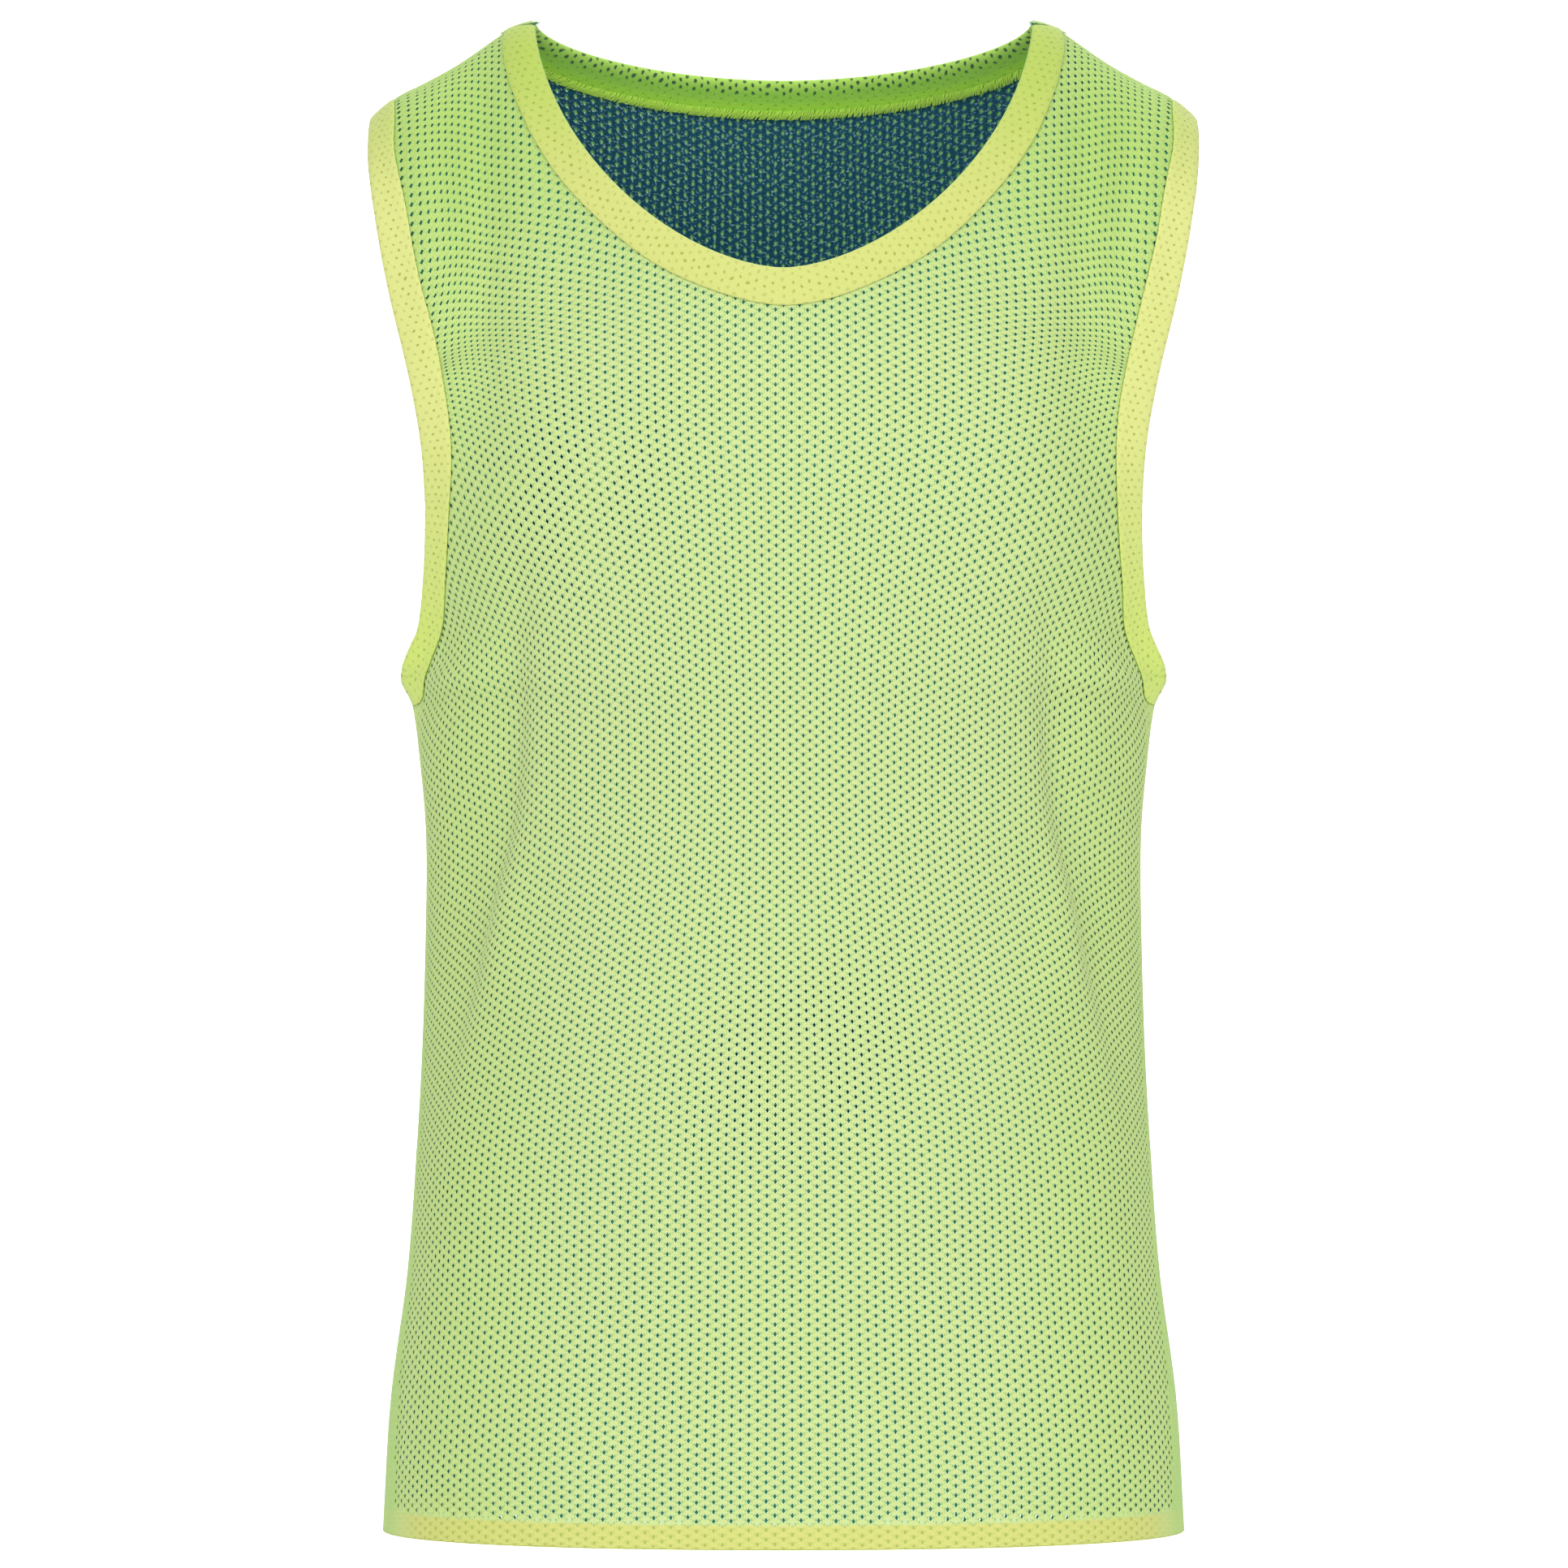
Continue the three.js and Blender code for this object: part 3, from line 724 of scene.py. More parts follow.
def make_panel(name, face, off, material, stretch=1.0, turn=0.0, shift=(0.0, 0.0)):
    """One panel of net: perforated on the knit's own grid, laid on the pattern and worn."""
    lowest = HEM_H + (OUTER_CUT if off > 0 else HIDDEN_EDGE)
    grid, faces, whole, lay = lay_out_panel(face, lowest, stretch, turn, shift)
    middle_a, middle_h, _ = lay(grid[faces].mean(1))
    if off > 0:
        whole &= middle_h > lowest + HEM_SHOWN
        whole &= side_at(face, middle_h) - np.abs(middle_a) > strip_wide(middle_h)
    panel = new_piece(name, np.hstack([grid / 1000, np.zeros((len(grid), 1))]).tolist(), faces.tolist())
    panel.data.attributes.new("open", "BOOLEAN", "FACE").data.foreach_set("value", whole)
    tall = HOLE_TALL if off > 0 else HOLE_TALL_INSIDE
    mesh = run_nodes(panel, perforate, {"Hole height": tall, "Material": material})
    grid = points_of(mesh)
    pattern_map(mesh, grid)
    a, h, _ = lay(grid[:, :2] * 1000)
    keep_value(mesh, "over_hem", h - lowest)
    keep_value(mesh, "plain", 1 - (side_at(face, h) - np.abs(a)) / (PLAIN_FADE * strip_wide(h)))
    w = off + grid[:, 2] * 1000 * (1 if off > 0 else -1)
    if (face == BACK) == (off > 0):
        mesh.flip_normals()
    mesh.attributes.remove(mesh.attributes["open"])
    move_points(mesh, worn(np.full(len(grid), face), a, h, w))
    print(name, "holes:", int(whole.sum()), "triangles:", sum(len(p.vertices) - 2 for p in mesh.polygons))
    return panel

# %% [markdown]
# ## Edges, bindings and the hem
#
# A binding is a strip of the same knit, folded round the cut edge of both layers. Its section is a flat U,
# and it is swept along the edge of the flat pattern before it is worn. So we need each edge as a line with
# a direction into the cloth at every place. The armhole's edge is laid out round the side line, and the
# neck's round the shoulder seams.

# %% Edges with their way into the cloth
def even(line, count):
    """Points at even distances along a line."""
    run = run_along(line)
    at = np.linspace(0, run[-1], count)
    return np.stack([np.interp(at, run, line[:, i]) for i in range(2)], 1)


def turned(line, sign):
    """Unit directions square to a line."""
    along = np.gradient(line, axis=0)
    along /= np.linalg.norm(along, axis=1)[:, None]
    return np.stack([along[:, 1], -along[:, 0]], 1) * sign


def true_width(edge):
    """Corrects flat widths so that a strip keeps its width on the worn bib."""
    count = len(edge["s"])
    edge["scale"] = np.ones(count)
    start, end = (place_on(edge, edge["s"], np.full(count, d), 0.0) for d in (0.0, BINDING))
    scale = BINDING / (1000 * np.linalg.norm(end - start, axis=1))
    wrapped = np.r_[scale[-4:], scale, scale[:4]]
    edge["scale"] = np.convolve(wrapped, np.ones(9) / 9, "valid")
    return edge


def armhole_round():
    """The left armhole's edge, from the shoulder down the front, under the arm and up the back."""
    sides = []
    for face in (FRONT, BACK):
        knots = armhole_edge(face)
        round_side = side_at(face, knots[:, 1]) - knots[:, 0]
        sides.append(np.stack([-face * round_side, knots[:, 1]], 1))
    count, eased_ends = 221, 16
    line = even(catmull(np.vstack([sides[0][::-1], sides[1][1:]]), 900), count)
    from_end = np.minimum(np.arange(count), np.arange(count)[::-1])
    blend = np.clip(1 - from_end / eased_ends, 0, 1)[:, None]
    level = np.where(line[:, :1] > 0, 1.0, -1.0) * np.array([1.0, 0.0])
    into = turned(line, -1) * (1 - blend) + level * blend
    run = run_along(line)
    return true_width({"kind": "armhole", "line": line, "into": into, "s": run, "long": run[-1]})


def neck_round():
    """The neck's edge, from the front's centre over the left shoulder, round the back and to the front."""
    parts, ways, faces = [], [], []
    count, eased_end = 70, 8
    halves = {face: even(neck_edge(face, 200), count) for face in (FRONT, BACK)}
    for face, side, turn in ((FRONT, 1, 1), (BACK, 1, -1), (BACK, -1, 1), (FRONT, -1, -1)):
        line = halves[face]
        blend = np.clip(1 - np.arange(count)[::-1] / eased_end, 0, 1)[:, None]
        into = turned(line, 1) * (1 - blend) + np.array([1.0, 0.0]) * blend
        into[0] = (0, -1)
        mirror = np.array([side, 1])
        parts.append((line * mirror)[::turn])
        ways.append((into * mirror)[::turn])
        faces.append(np.full(count, face))
    line, into, face = np.vstack(parts), np.vstack(ways), np.concatenate(faces)
    step = np.hypot(*np.diff(line, axis=0).T)
    step[[count - 1, 2 * count - 1, 3 * count - 1]] = 0
    run = np.r_[0, np.cumsum(step)]
    return true_width({"kind": "neck", "line": line, "into": into, "face": face, "s": run, "long": run[-1]})


def place_on(edge, s, d, w, side=1):
    """Carries a place on an edge to the worn bib: s along it, d into the cloth and w out of it, in mm."""
    s = np.mod(np.asarray(s, float), edge["long"] + 1e-9)
    i = np.clip(np.searchsorted(edge["s"], s, "right") - 1, 0, len(edge["s"]) - 2)
    span = edge["s"][i + 1] - edge["s"][i]
    t = np.clip((s - edge["s"][i]) / np.maximum(span, 1e-9), 0, 1)

    def pick(key):
        return (edge[key][i].T * (1 - t) + edge[key][i + 1].T * t).T

    flat = pick("line") + pick("into") * (np.asarray(d, float) * pick("scale"))[:, None]
    if edge["kind"] == "neck":
        return worn(edge["face"][i], flat[:, 0] * side, flat[:, 1], w)
    face = np.where(flat[:, 0] >= 0, FRONT, BACK)
    return worn(face, (own_side(face, flat[:, 1]) - np.abs(flat[:, 0])) * side, flat[:, 1], w)


armhole, neck = armhole_round(), neck_round()
print("edges on the flat, mm: armhole", round(armhole["long"]), "neck", round(neck["long"]))

# %% Sweep a section round an edge
FOLD_OUTSIDE = [
    # d into the cloth, w out of it: half of a flat U round the cut edge, thin at its sewn edge
    (16.1, 1.25),
    (15.9, 1.75),
    (15.2, 2.05),
    (13.0, 2.16),
    (10.0, 2.1),
    (7.0, 2.16),
    (4.0, 2.28),
    (1.6, 2.26),
    (0.2, 2.0),
    (-0.7, 1.35),
    (-1.05, 0.5),
]
FOLD_INSIDE = [(14.0, -1.2), (7.0, -1.2), (0.9, -1.2), (0.4, 0.0), (0.9, 1.2), (7.0, 1.2), (14.0, 1.2)]
FOLDED = FOLD_OUTSIDE + [(d, -w) for d, w in FOLD_OUTSIDE[::-1]] + FOLD_INSIDE
BAND_THIN = 0.8  # share of that thickness that the sewn binding keeps
BAND_OUTSIDE = 1.1  # mm from the middle of the cloth beyond which a point is on the binding's outer side


def closed_strip(name, points, flats, material):
    """A ring of cloth from rings of one section. Each is joined to the next, and the last to the first."""
    stations, count = points.shape[:2]
    vertex = np.arange(stations * count).reshape(stations, count)
    ahead, beside = np.roll(vertex, -1, 0), np.roll(vertex, -1, 1)
    both = np.roll(ahead, -1, 1)
    faces = np.stack([vertex, ahead, both, beside], -1).reshape(-1, 4)
    piece = new_piece(name, points.reshape(-1, 3).tolist(), faces.tolist(), material)
    mesh = piece.data
    lap = flats[-1, :, 0] + (flats[-1, :, 0] - flats[-2, :, 0])
    after = np.concatenate([flats[1:], np.stack([lap, flats[0, :, 1]], -1)[None]])
    row_on, row_on_after = [
        np.concatenate([grid[:, 1:], grid[:, -1:] + np.array([0, 0.001])], 1) for grid in (flats, after)
    ]
    corners = np.stack([flats, after, row_on_after, row_on], 2).astype(np.float32)
    mesh.uv_layers.new(name="pattern").data.foreach_set("uv", corners.ravel())
    mesh.shade_smooth()
    if sum(p.center.dot(p.normal) * p.area for p in mesh.polygons) < 0:
        mesh.flip_normals()
    print(name, "faces:", len(mesh.polygons))
    return piece


def pucker(s, long, seed):
    """Slight unevenness along a sewn edge, which closes on itself."""
    turn = 2 * math.pi * s / long
    waves = ((0.1, 5, 1), (0.07, 13, 2), (0.05, 29, 3))
    return sum(tall * np.sin(number * turn + shift * seed) for tall, number, shift in waves)


def swept(name, section, count, s, points, material):
    """A closed strip of count sections, with its pattern map: s along it and the run round the section."""
    flats = np.stack([s, np.tile(run_along(section), count)], 1) / 1000
    return closed_strip(name, points.reshape(count, -1, 3), flats.reshape(count, -1, 2), material)


def make_binding(name, edge, material, join, side=1, count=240):
    """A binding folded round an edge. join is the share of the way round where its ends are sewn together."""
    section = np.array(FOLDED)
    run = np.linspace(0, edge["long"], count, endpoint=False) + join * edge["long"]
    whole_repeats = round(edge["long"] / (2 * COLUMN)) * 2 * COLUMN / edge["long"]
    s, d = np.repeat(run, len(section)), np.tile(section[:, 0], count)
    w = np.tile(section[:, 1], count) * BAND_THIN
    outward = np.sign(w) * (np.abs(w) > BAND_OUTSIDE)
    swell = pucker(s, edge["long"], 1.3 + side) * outward
    wide = np.where(d > BINDING - 1, 0.25 * np.sin(2 * math.pi * 11 * s / edge["long"] + side), 0)
    points = place_on(edge, s, d + wide, w + swell, side)
    return swept(name, section, count, s * whole_repeats, points, material)

# %% [markdown]
# ## The hem and the side seams
#
# At the hem the lime cloth is turned up inside and sewn. Its openings show only as dimples there, darkened
# with painted shade, with more lime cloth behind them, so the band looks lighter. We build the turned part as
# a ring just behind the outer net. The seam allowances down the sides lie behind the net in the same way.

# %% The turned hem
HEM_SECTION = [
    # h over the bottom edge for the full hem, w out of the cloth
    (14.8, -0.02),
    (14.9, 0.1),
    (8.0, 0.15),
    (2.0, 0.2),
    (0.7, 0.55),
    (0.1, 0.3),
    (-0.1, -0.4),
    (0.1, -1.2),
    (0.7, -1.7),
    (2.0, -1.95),
    (5.0, -1.9),
    (7.0, -1.72),
    (9.0, -1.9),
    (13.0, -1.9),
    (14.4, -1.7),
    (14.9, -1.35),
    (14.0, -1.15),
    (8.0, -1.1),
    (2.2, -1.1),
    (1.4, -0.4),
    (2.2, -0.1),
    (8.0, -0.05),
]
HEM_LONG = 980  # mm round the hem
HEM_INSIDE = -1.3  # mm from the middle of the cloth beyond which a point is on the turn's inner side


def make_hem(name, material, count=320):
    """The turned-up hem, round the whole bib."""
    section = np.array(HEM_SECTION)
    part = np.repeat(np.arange(count) / count, len(section))
    turn = 4 * part
    face = np.where((turn < 1) | (turn >= 3), FRONT, BACK)
    share = np.select([turn < 1, turn < 3], [turn, 2 - turn], turn - 4)
    h = np.tile(section[:, 0], count) * HEM_SHOWN / HEM + HEM_H
    w = np.tile(section[:, 1], count)
    s = part * HEM_LONG
    points = worn(face, share * own_side(face, h), h, w + pucker(s, HEM_LONG, 0.7) * (w < HEM_INSIDE))
    return swept(name, section, count, s, points, material)

# %% Seam allowances down the sides
ALLOWANCE = 8  # mm of cloth to each side of the side seam
SEAM_TOP = -84  # where on the pattern the allowances end, under the armhole
SEAM_OFF = 0.22  # mm of the allowances from the middle of the cloth


def make_allowance(name, side, material):
    """The pressed-open allowances of one side seam, as a narrow strip behind the outer net."""
    rows, columns = 150, 13
    heights = np.linspace(HEM_H + HEM - 1, SEAM_TOP, rows)
    b, h = [part.ravel() for part in np.meshgrid(np.linspace(-ALLOWANCE, ALLOWANCE, columns), heights)]
    ragged = 0.5 * np.sin(h / 9) + 0.35 * np.sin(h / 3.7 + 1)
    b = b + np.where(np.abs(b) > ALLOWANCE - 0.1, ragged * np.sign(b), 0)
    face = np.where(b >= 0, FRONT, BACK)
    points = worn(face, (own_side(face, h) - np.abs(b)) * side, h, SEAM_OFF)
    ids = np.arange(rows * columns).reshape(rows, columns)
    faces = np.stack([ids[:-1, :-1], ids[:-1, 1:], ids[1:, 1:], ids[1:, :-1]], -1).reshape(-1, 4)
    strip = new_piece(name, points.tolist(), faces.tolist(), material)
    pattern_map(strip.data, np.stack([b, h], 1) / 1000)
    if side > 0:
        strip.data.flip_normals()
    strip.data.shade_smooth()
    return strip

# %% [markdown]
# ## Stitches
#
# The raw edge of the binding inside is overlocked: loops of thread wrap it closely, and they show as a
# bright fuzzy line under the back of the neck. A second tree sets one small loop of thread at every stitch
# of a straight line. The line is then worn like the cloth.

# %% Geometry Nodes that sew a line
def stitch_tree():
    """A tree that lays loops of thread along X. Y crosses the edge and Z stands out of the cloth."""
    sizes = {
        "Length": 0.5,
        "Pitch": 0.0024,
        "Reach": 0.0022,
        "Slant": 0.0008,
        "Height": 0.0005,
        "Thread": 0.00016,
    }
    tree, given = tree_with("stitches", sizes, "Seam")
    _, length, pitch, reach, slant, height, thread, material = given
    place = lambda **sides: add_node(tree, "ShaderNodeCombineXYZ", {}, sides)
    row = {"Count": (length / pitch).math("FLOOR"), "Start Location": (0, 0, 0), "Offset": place(X=pitch)}
    line = add_node(tree, "GeometryNodeMeshLine", {"mode": "OFFSET"}, row)
    start, middle = place(X=-slant, Y=-reach / 2), place(Z=height * 2)
    arc = {"Resolution": 5, "Start": start, "Middle": middle, "End": place(X=slant, Y=reach / 2)}
    bend = add_node(tree, "GeometryNodeCurveQuadraticBezier", {}, arc)
    round_thread = add_node(tree, "GeometryNodeCurvePrimitiveCircle", {}, {"Resolution": 5, "Radius": thread})
    sweep = {"Curve": bend, "Profile Curve": round_thread, "Fill Caps": True}
    loop = add_node(tree, "GeometryNodeCurveToMesh", {}, sweep)
    by_chance = {2: -0.22, 3: 0.22, "Seed": 7}
    lean = add_node(tree, "FunctionNodeRandomValue", {"data_type": "FLOAT"}, by_chance, output=1)
    each = {"Points": line, "Instance": loop, "Rotation": place(Z=lean)}
    return end_tree(tree, add_node(tree, "GeometryNodeInstanceOnPoints", {}, each), material, "Seam")


sew = stitch_tree()


def make_seam(name, length, place, finish, **sizes):
    """A line of stitches, sewn flat and then carried by a function of along, across and out, in mm."""
    seam = new_piece(name, [], [])
    values = {key.capitalize(): value / 1000 for key, value in sizes.items()}
    mesh = run_nodes(seam, sew, {"Length": length / 1000, "Material": finish, **values})
    flat = points_of(mesh)
    pattern_map(mesh, flat)
    mesh.shade_smooth()
    move_points(mesh, place(*(flat * 1000).T))
    print(name, "stitches:", int(length / sizes["pitch"]), "faces:", len(mesh.polygons))
    return seam

# %% [markdown]
# ## Finishes
#
# All the cloth is one knit in three colours. Its texture map is the flat pattern, so the shader knows where
# it is between the openings. It draws the fine loops of yarn round each opening, a slight unevenness of the
# dye, and the bump of the knit. On the doubled bands the openings are only dimples, darkened with painted
# shade, and near the folded edge they are painted dark, as the petrol layer inside the fold looks in shade.
# The lime knit also gets painted shade at its sides and shoulders, and painted light through the cloth.

# %% Shader helpers
def colour(text):
    """A colour written as on a screen, in the linear values that shaders take."""
    parts = [int(text[i : i + 2], 16) / 255 for i in (1, 3, 5)]
    return (*[p / 12.92 if p <= 0.04045 else ((p + 0.055) / 1.055) ** 2.4 for p in parts], 1.0)


def mixed(tree, factor, first, second):
    """A blend of two colours."""
    settings = {"data_type": "RGBA", "clamp_factor": True}
    return add_node(tree, "ShaderNodeMix", settings, {0: factor, 6: first, 7: second}, output=2)


def soft(value, low, high):
    """A soft step of a value from 0 to 1."""
    settings = {"interpolation_type": "SMOOTHSTEP"}
    return add_node(value.tree, "ShaderNodeMapRange", settings, [value, low, high, 0.0, 1.0])


def noise(tree, vector, scale, detail=2.0):
    """Soft noise at a scale, in spots per metre of pattern."""
    return add_node(tree, "ShaderNodeTexNoise", {}, {"Vector": vector, "Scale": scale, "Detail": detail})


def from_opening(u, v, column, row):
    """Place in mm from the nearest opening of the staggered net: across, up, and a rounded distance."""
    def off_centre(shift):
        repeats = ((u, 2 * column), (v, 2 * row))
        across, up = [((value / pitch + shift).math("FRACT") - 0.5) * pitch for value, pitch in repeats]
        return across, up, (across * across + up * up * 0.5).math("SQRT")

    across, up, far = off_centre(0.5)
    across_2, up_2, far_2 = off_centre(0.0)
    second = far_2.math("LESS_THAN", far)
    return (
        (across + (across_2 - across) * second).math("ABSOLUTE"),
        up + (up_2 - up) * second,
        far.math("MINIMUM", far_2),
    )


def yarn_loops(u, v):
    """The fine loops of the knit, three across a column and two up a row, from 0 to 1."""
    wales = (u * (2 * math.pi / (COLUMN / 3))).math("SINE")
    courses = (v * (2 * math.pi / (ROW / 2)) + wales * 0.9).math("SINE")
    return wales * courses * 0.5 + 0.5


def on_bib(tree):
    """Place on the worn bib in millimetres: across, to the back and up."""
    place = add_node(tree, "ShaderNodeTexCoord").part("Object")
    split = add_node(tree, "ShaderNodeSeparateXYZ", {}, [place])
    return [split.part(axis) * 1000 for axis in "XYZ"]


def start_material(name, sheen):
    """A new node material with its tree, its shader and its flat pattern in millimetres."""
    material = bpy.data.materials.new(name)
    material.use_nodes = True
    tree = material.node_tree
    tree.nodes.clear()
    shader = tree.nodes.new("ShaderNodeBsdfPrincipled")
    pattern = add_node(tree, "ShaderNodeUVMap", {"uv_map": "pattern"})
    split = add_node(tree, "ShaderNodeSeparateXYZ", {}, [pattern])
    u, v = split.part("X") * 1000, split.part("Y") * 1000
    shader.inputs["Sheen Weight"].default_value = sheen
    shader.inputs["Sheen Roughness"].default_value = 0.5
    shader.inputs["Specular IOR Level"].default_value = 0.25
    return material, tree, shader, pattern, u, v


def finish_material(tree, shader, base, height, roughness, depth, through=None):
    """Connects colour, roughness and the bump of the knit. through colours light that passes the cloth."""
    tree.links.new(base.socket, shader.inputs["Base Color"])
    tree.links.new(roughness.socket, shader.inputs["Roughness"])
    bump = add_node(tree, "ShaderNodeBump", {}, {"Strength": 0.6, "Distance": depth, "Height": height})
    tree.links.new(bump.socket, shader.inputs["Normal"])
    output = tree.nodes.new("ShaderNodeOutputMaterial")
    last = Value(tree, shader.outputs[0])
    if through:
        thin = add_node(tree, "ShaderNodeBsdfTranslucent", {}, {"Color": colour(through)})
        last = add_node(tree, "ShaderNodeMixShader", {}, {0: THIN, 1: last, 2: thin})
    tree.links.new(last.socket, output.inputs["Surface"])

# %% The knit of the two layers
THIN = 0.18  # share of the light that the open knit lets through
KNIT_DEEP = 0.0004  # metres that the loops of the knit stand out


def knit(name, sheen, yarn, shade, dark, glint, tint):
    """Perforated knit: its yarn, the shade between loops, the dark legs over each opening, the glint of its
    rim, and the tint of the closed cloth between."""
    material, tree, shader, pattern, u, v = start_material(name, sheen)
    across, up, far = from_opening(u, v, COLUMN, ROW)
    loops = yarn_loops(u, v)
    legs = (across - 1.15).math("ABSOLUTE") + (up - 0.75 + across * 0.35).math("ABSOLUTE") * 0.8
    legs = 1 - soft(legs, 0.25, 0.75)
    under = (across - 1.25).math("ABSOLUTE") + (up + 1.1).math("ABSOLUTE")
    under = 1 - soft(under, 0.2, 0.7)
    rim = 1 - soft(far, 0.7, 1.25)
    ridge_top = soft(far, 1.45, 2.1)
    patches = noise(tree, pattern, 9.0)
    yarns = noise(tree, pattern, 900.0, 3.0)
    spots = noise(tree, pattern, 260.0, 1.0)
    base = mixed(tree, ridge_top * soft(spots, 0.4, 0.62) * 0.8, colour(yarn), colour(tint))
    base = mixed(tree, loops * 0.42 + yarns * 0.35, base, colour(shade))
    base = mixed(tree, legs.math("MAXIMUM", under * 0.7) * 0.8, base, colour(dark))
    base = mixed(tree, rim * 0.7, base, colour(glint))
    base = mixed(tree, soft(patches, 0.35, 0.75) * 0.12, base, colour(shade))
    height = loops * 0.5 + yarns * 0.4 - rim * 0.6 - legs * 0.8
    return material, tree, shader, pattern, far, base, height, yarns * 0.2 + 0.72


def lime_knit_finish():
    """The outer knit. Where it is doubled at the hem, the cloth behind makes it yellower."""
    material, tree, shader, _, far, base, height, roughness = knit(
        "lime_knit", 0.25, yarn="#eefcae", shade="#d6f098", dark="#94c45a", glint="#dcfacc", tint="#f4eeae"
    )
    across, back, up = on_bib(tree)
    aside = across.math("ABSOLUTE")
    # Painted shade: greener and more saturated towards the sides, which the front light meets at a slant.
    base = mixed(tree, soft(aside, 80.0, 165.0) * 0.4, base, colour("#d2f67c"))
    # Painted shade: greener and darker high up over the shoulders, whose tops face away from the front light.
    base = mixed(tree, soft(up, -150.0, -20.0) * 0.6, base, colour("#b6df6a"))
    # Painted light: greener on the back's upper part, as the cloth looks with light shining through it from
    # behind.
    behind = soft(back, 5.0, 25.0) * soft(up, -230.0, -120.0)
    base = mixed(tree, behind * 0.4, base, colour("#a2e6ac"))
    plain = add_node(tree, "ShaderNodeAttribute", {"attribute_name": "plain"}).part("Fac")
    base = mixed(tree, soft(plain, -0.1, 0.35) * 0.8, base, colour("#c4ef7c"))
    over_hem = add_node(tree, "ShaderNodeAttribute", {"attribute_name": "over_hem"}).part("Fac")
    doubled = (1 - soft(over_hem, HEM_SHOWN - 2.5, HEM_SHOWN - 0.5)) * (1 - soft(plain, -0.5, 0.3) * 0.8)
    base = mixed(tree, doubled * 0.8, base, colour("#eeec82"))
    # Painted shade: the dimples of the doubled hem are darkened to olive.
    dimple = (1 - soft(far, 0.25, 0.85)) * (1 - soft(plain, -0.5, 0.1)) * doubled
    base = mixed(tree, dimple * 0.7, base, colour("#a3bd38"))
    finish_material(tree, shader, base, height - dimple, roughness, KNIT_DEEP, "#8fe076")
    return material


def petrol_knit_finish():
    """The inner knit, with pale specks where light catches its loops."""
    material, tree, shader, pattern, _, base, height, roughness = knit(
        "petrol_knit", 0.2, yarn="#0d5a7e", shade="#083c5c", dark="#062f48", glint="#5aa48a", tint="#2c7890"
    )
    specks = soft(noise(tree, pattern, 780.0, 1.0), 0.57, 0.68)
    base = mixed(tree, specks * 0.8, base, colour("#a3cdd2"))
    # Painted light: the front's inner net is greener, as if lit by lime light that passes the outer layer.
    _, back, _ = on_bib(tree)
    base = mixed(tree, soft(-back, 2.0, 12.0) * 0.8, base, colour("#46a578"))
    finish_material(tree, shader, base, height, roughness, KNIT_DEEP, "#1c7080")
    return material


lime_knit, petrol_knit = lime_knit_finish(), petrol_knit_finish()

# %% The doubled bands
def band(name, yarn, shade, folded):
    """Doubled lime knit with dimples of painted shade. A folded binding is greener inside, with painted shade
    in its openings.
    """
    material, tree, shader, pattern, u, v = start_material(name, 0.25)
    stray = noise(tree, pattern, 170.0, 1.0) - 0.5
    _, _, far = from_opening(u + stray * 3.5, v + stray * 2.0, COLUMN, ROW * 0.95)
    spot, small = 1 - soft(far, 0.5, 1.0), 1 - soft(far, 0.2, 0.75)
    loops = yarn_loops(u, v)
    yarns = noise(tree, pattern, 900.0, 3.0)
    patches = noise(tree, pattern, 12.0)
    base = mixed(tree, loops * 0.2 + yarns * 0.25, colour(yarn), colour(shade))
    base = mixed(tree, soft(patches, 0.4, 0.75) * 0.16, base, colour("#c5d45a"))
    if folded:
        across, _, up = on_bib(tree)
        aside = across.math("ABSOLUTE")
        base = mixed(tree, soft(aside, 110.0, 150.0) * 0.4, base, colour("#eff39e"))
        under_arm = (1 - soft(up, -285.0, -150.0)) * soft(aside, 120.0, 150.0)
        # Painted shade: greener and darker towards the top of the bindings.
        base = mixed(tree, soft(up, -80.0, 10.0) * 0.7, base, colour("#a4c742"))
        base = mixed(tree, under_arm * 0.55, base, colour("#c6ea58"))
        inside = soft(v, 17.0, 19.0)
        base = mixed(tree, inside * 0.8, base, colour("#b7ea68"))
        # Painted shade: the binding's inside darkens below its upper rows, and is lighter again by its
        # overlocked edge.
        base = mixed(tree, soft(v, 21.0, 27.0) * 0.7, base, colour("#84c63c"))
        base = mixed(tree, soft(v, 29.0, 33.0) * 0.7, base, colour("#a6e03e"))
        rows = soft(v, 19.0, 20.5) * (1 - soft(v, 26.0, 28.0))
        line = soft(v, 5.5, 7.0) * (1 - soft(v, 10.0, 11.5))
        # Painted shade in the dimples, stronger along one row on the outer side.
        base = mixed(tree, small * (line * 0.5 + 0.3), base, colour("#9aa626"))
        # The openings in rows inside are painted dark: the petrol layer inside the fold, seen in painted
        # shade.
        base = mixed(tree, spot * rows * inside * 0.9, base, colour("#12503c"))
    else:
        # Painted shade in the dimples.
        base = mixed(tree, small * 0.55, base, colour("#a4b43c"))
    height = loops * 0.4 + yarns * 0.4 - small * 1.3
    finish_material(tree, shader, base, height, yarns * 0.2 + 0.7, KNIT_DEEP)
    return material


bound_band = band("bound_band", "#d9de86", "#c3ce62", True)
hem_cloth = band("hem_cloth", "#ccd565", "#b3c24c", False)

# %% Thread
def thread_finish():
    """Spun thread, a little brighter than the cloth and twisted."""
    material, tree, shader, pattern, u, v = start_material("lime_thread", 0.3)
    twist = ((u + v * 1.7) * 18.0).math("SINE") * 0.5 + 0.5
    fuzz = noise(tree, pattern, 1400.0, 3.0)
    base = mixed(tree, twist * 0.5 + fuzz * 0.3, colour("#d8ff62"), colour("#a8e83e"))
    finish_material(tree, shader, base, twist + fuzz, fuzz * 0.2 + 0.6, 0.0001)
    return material


thread = thread_finish()

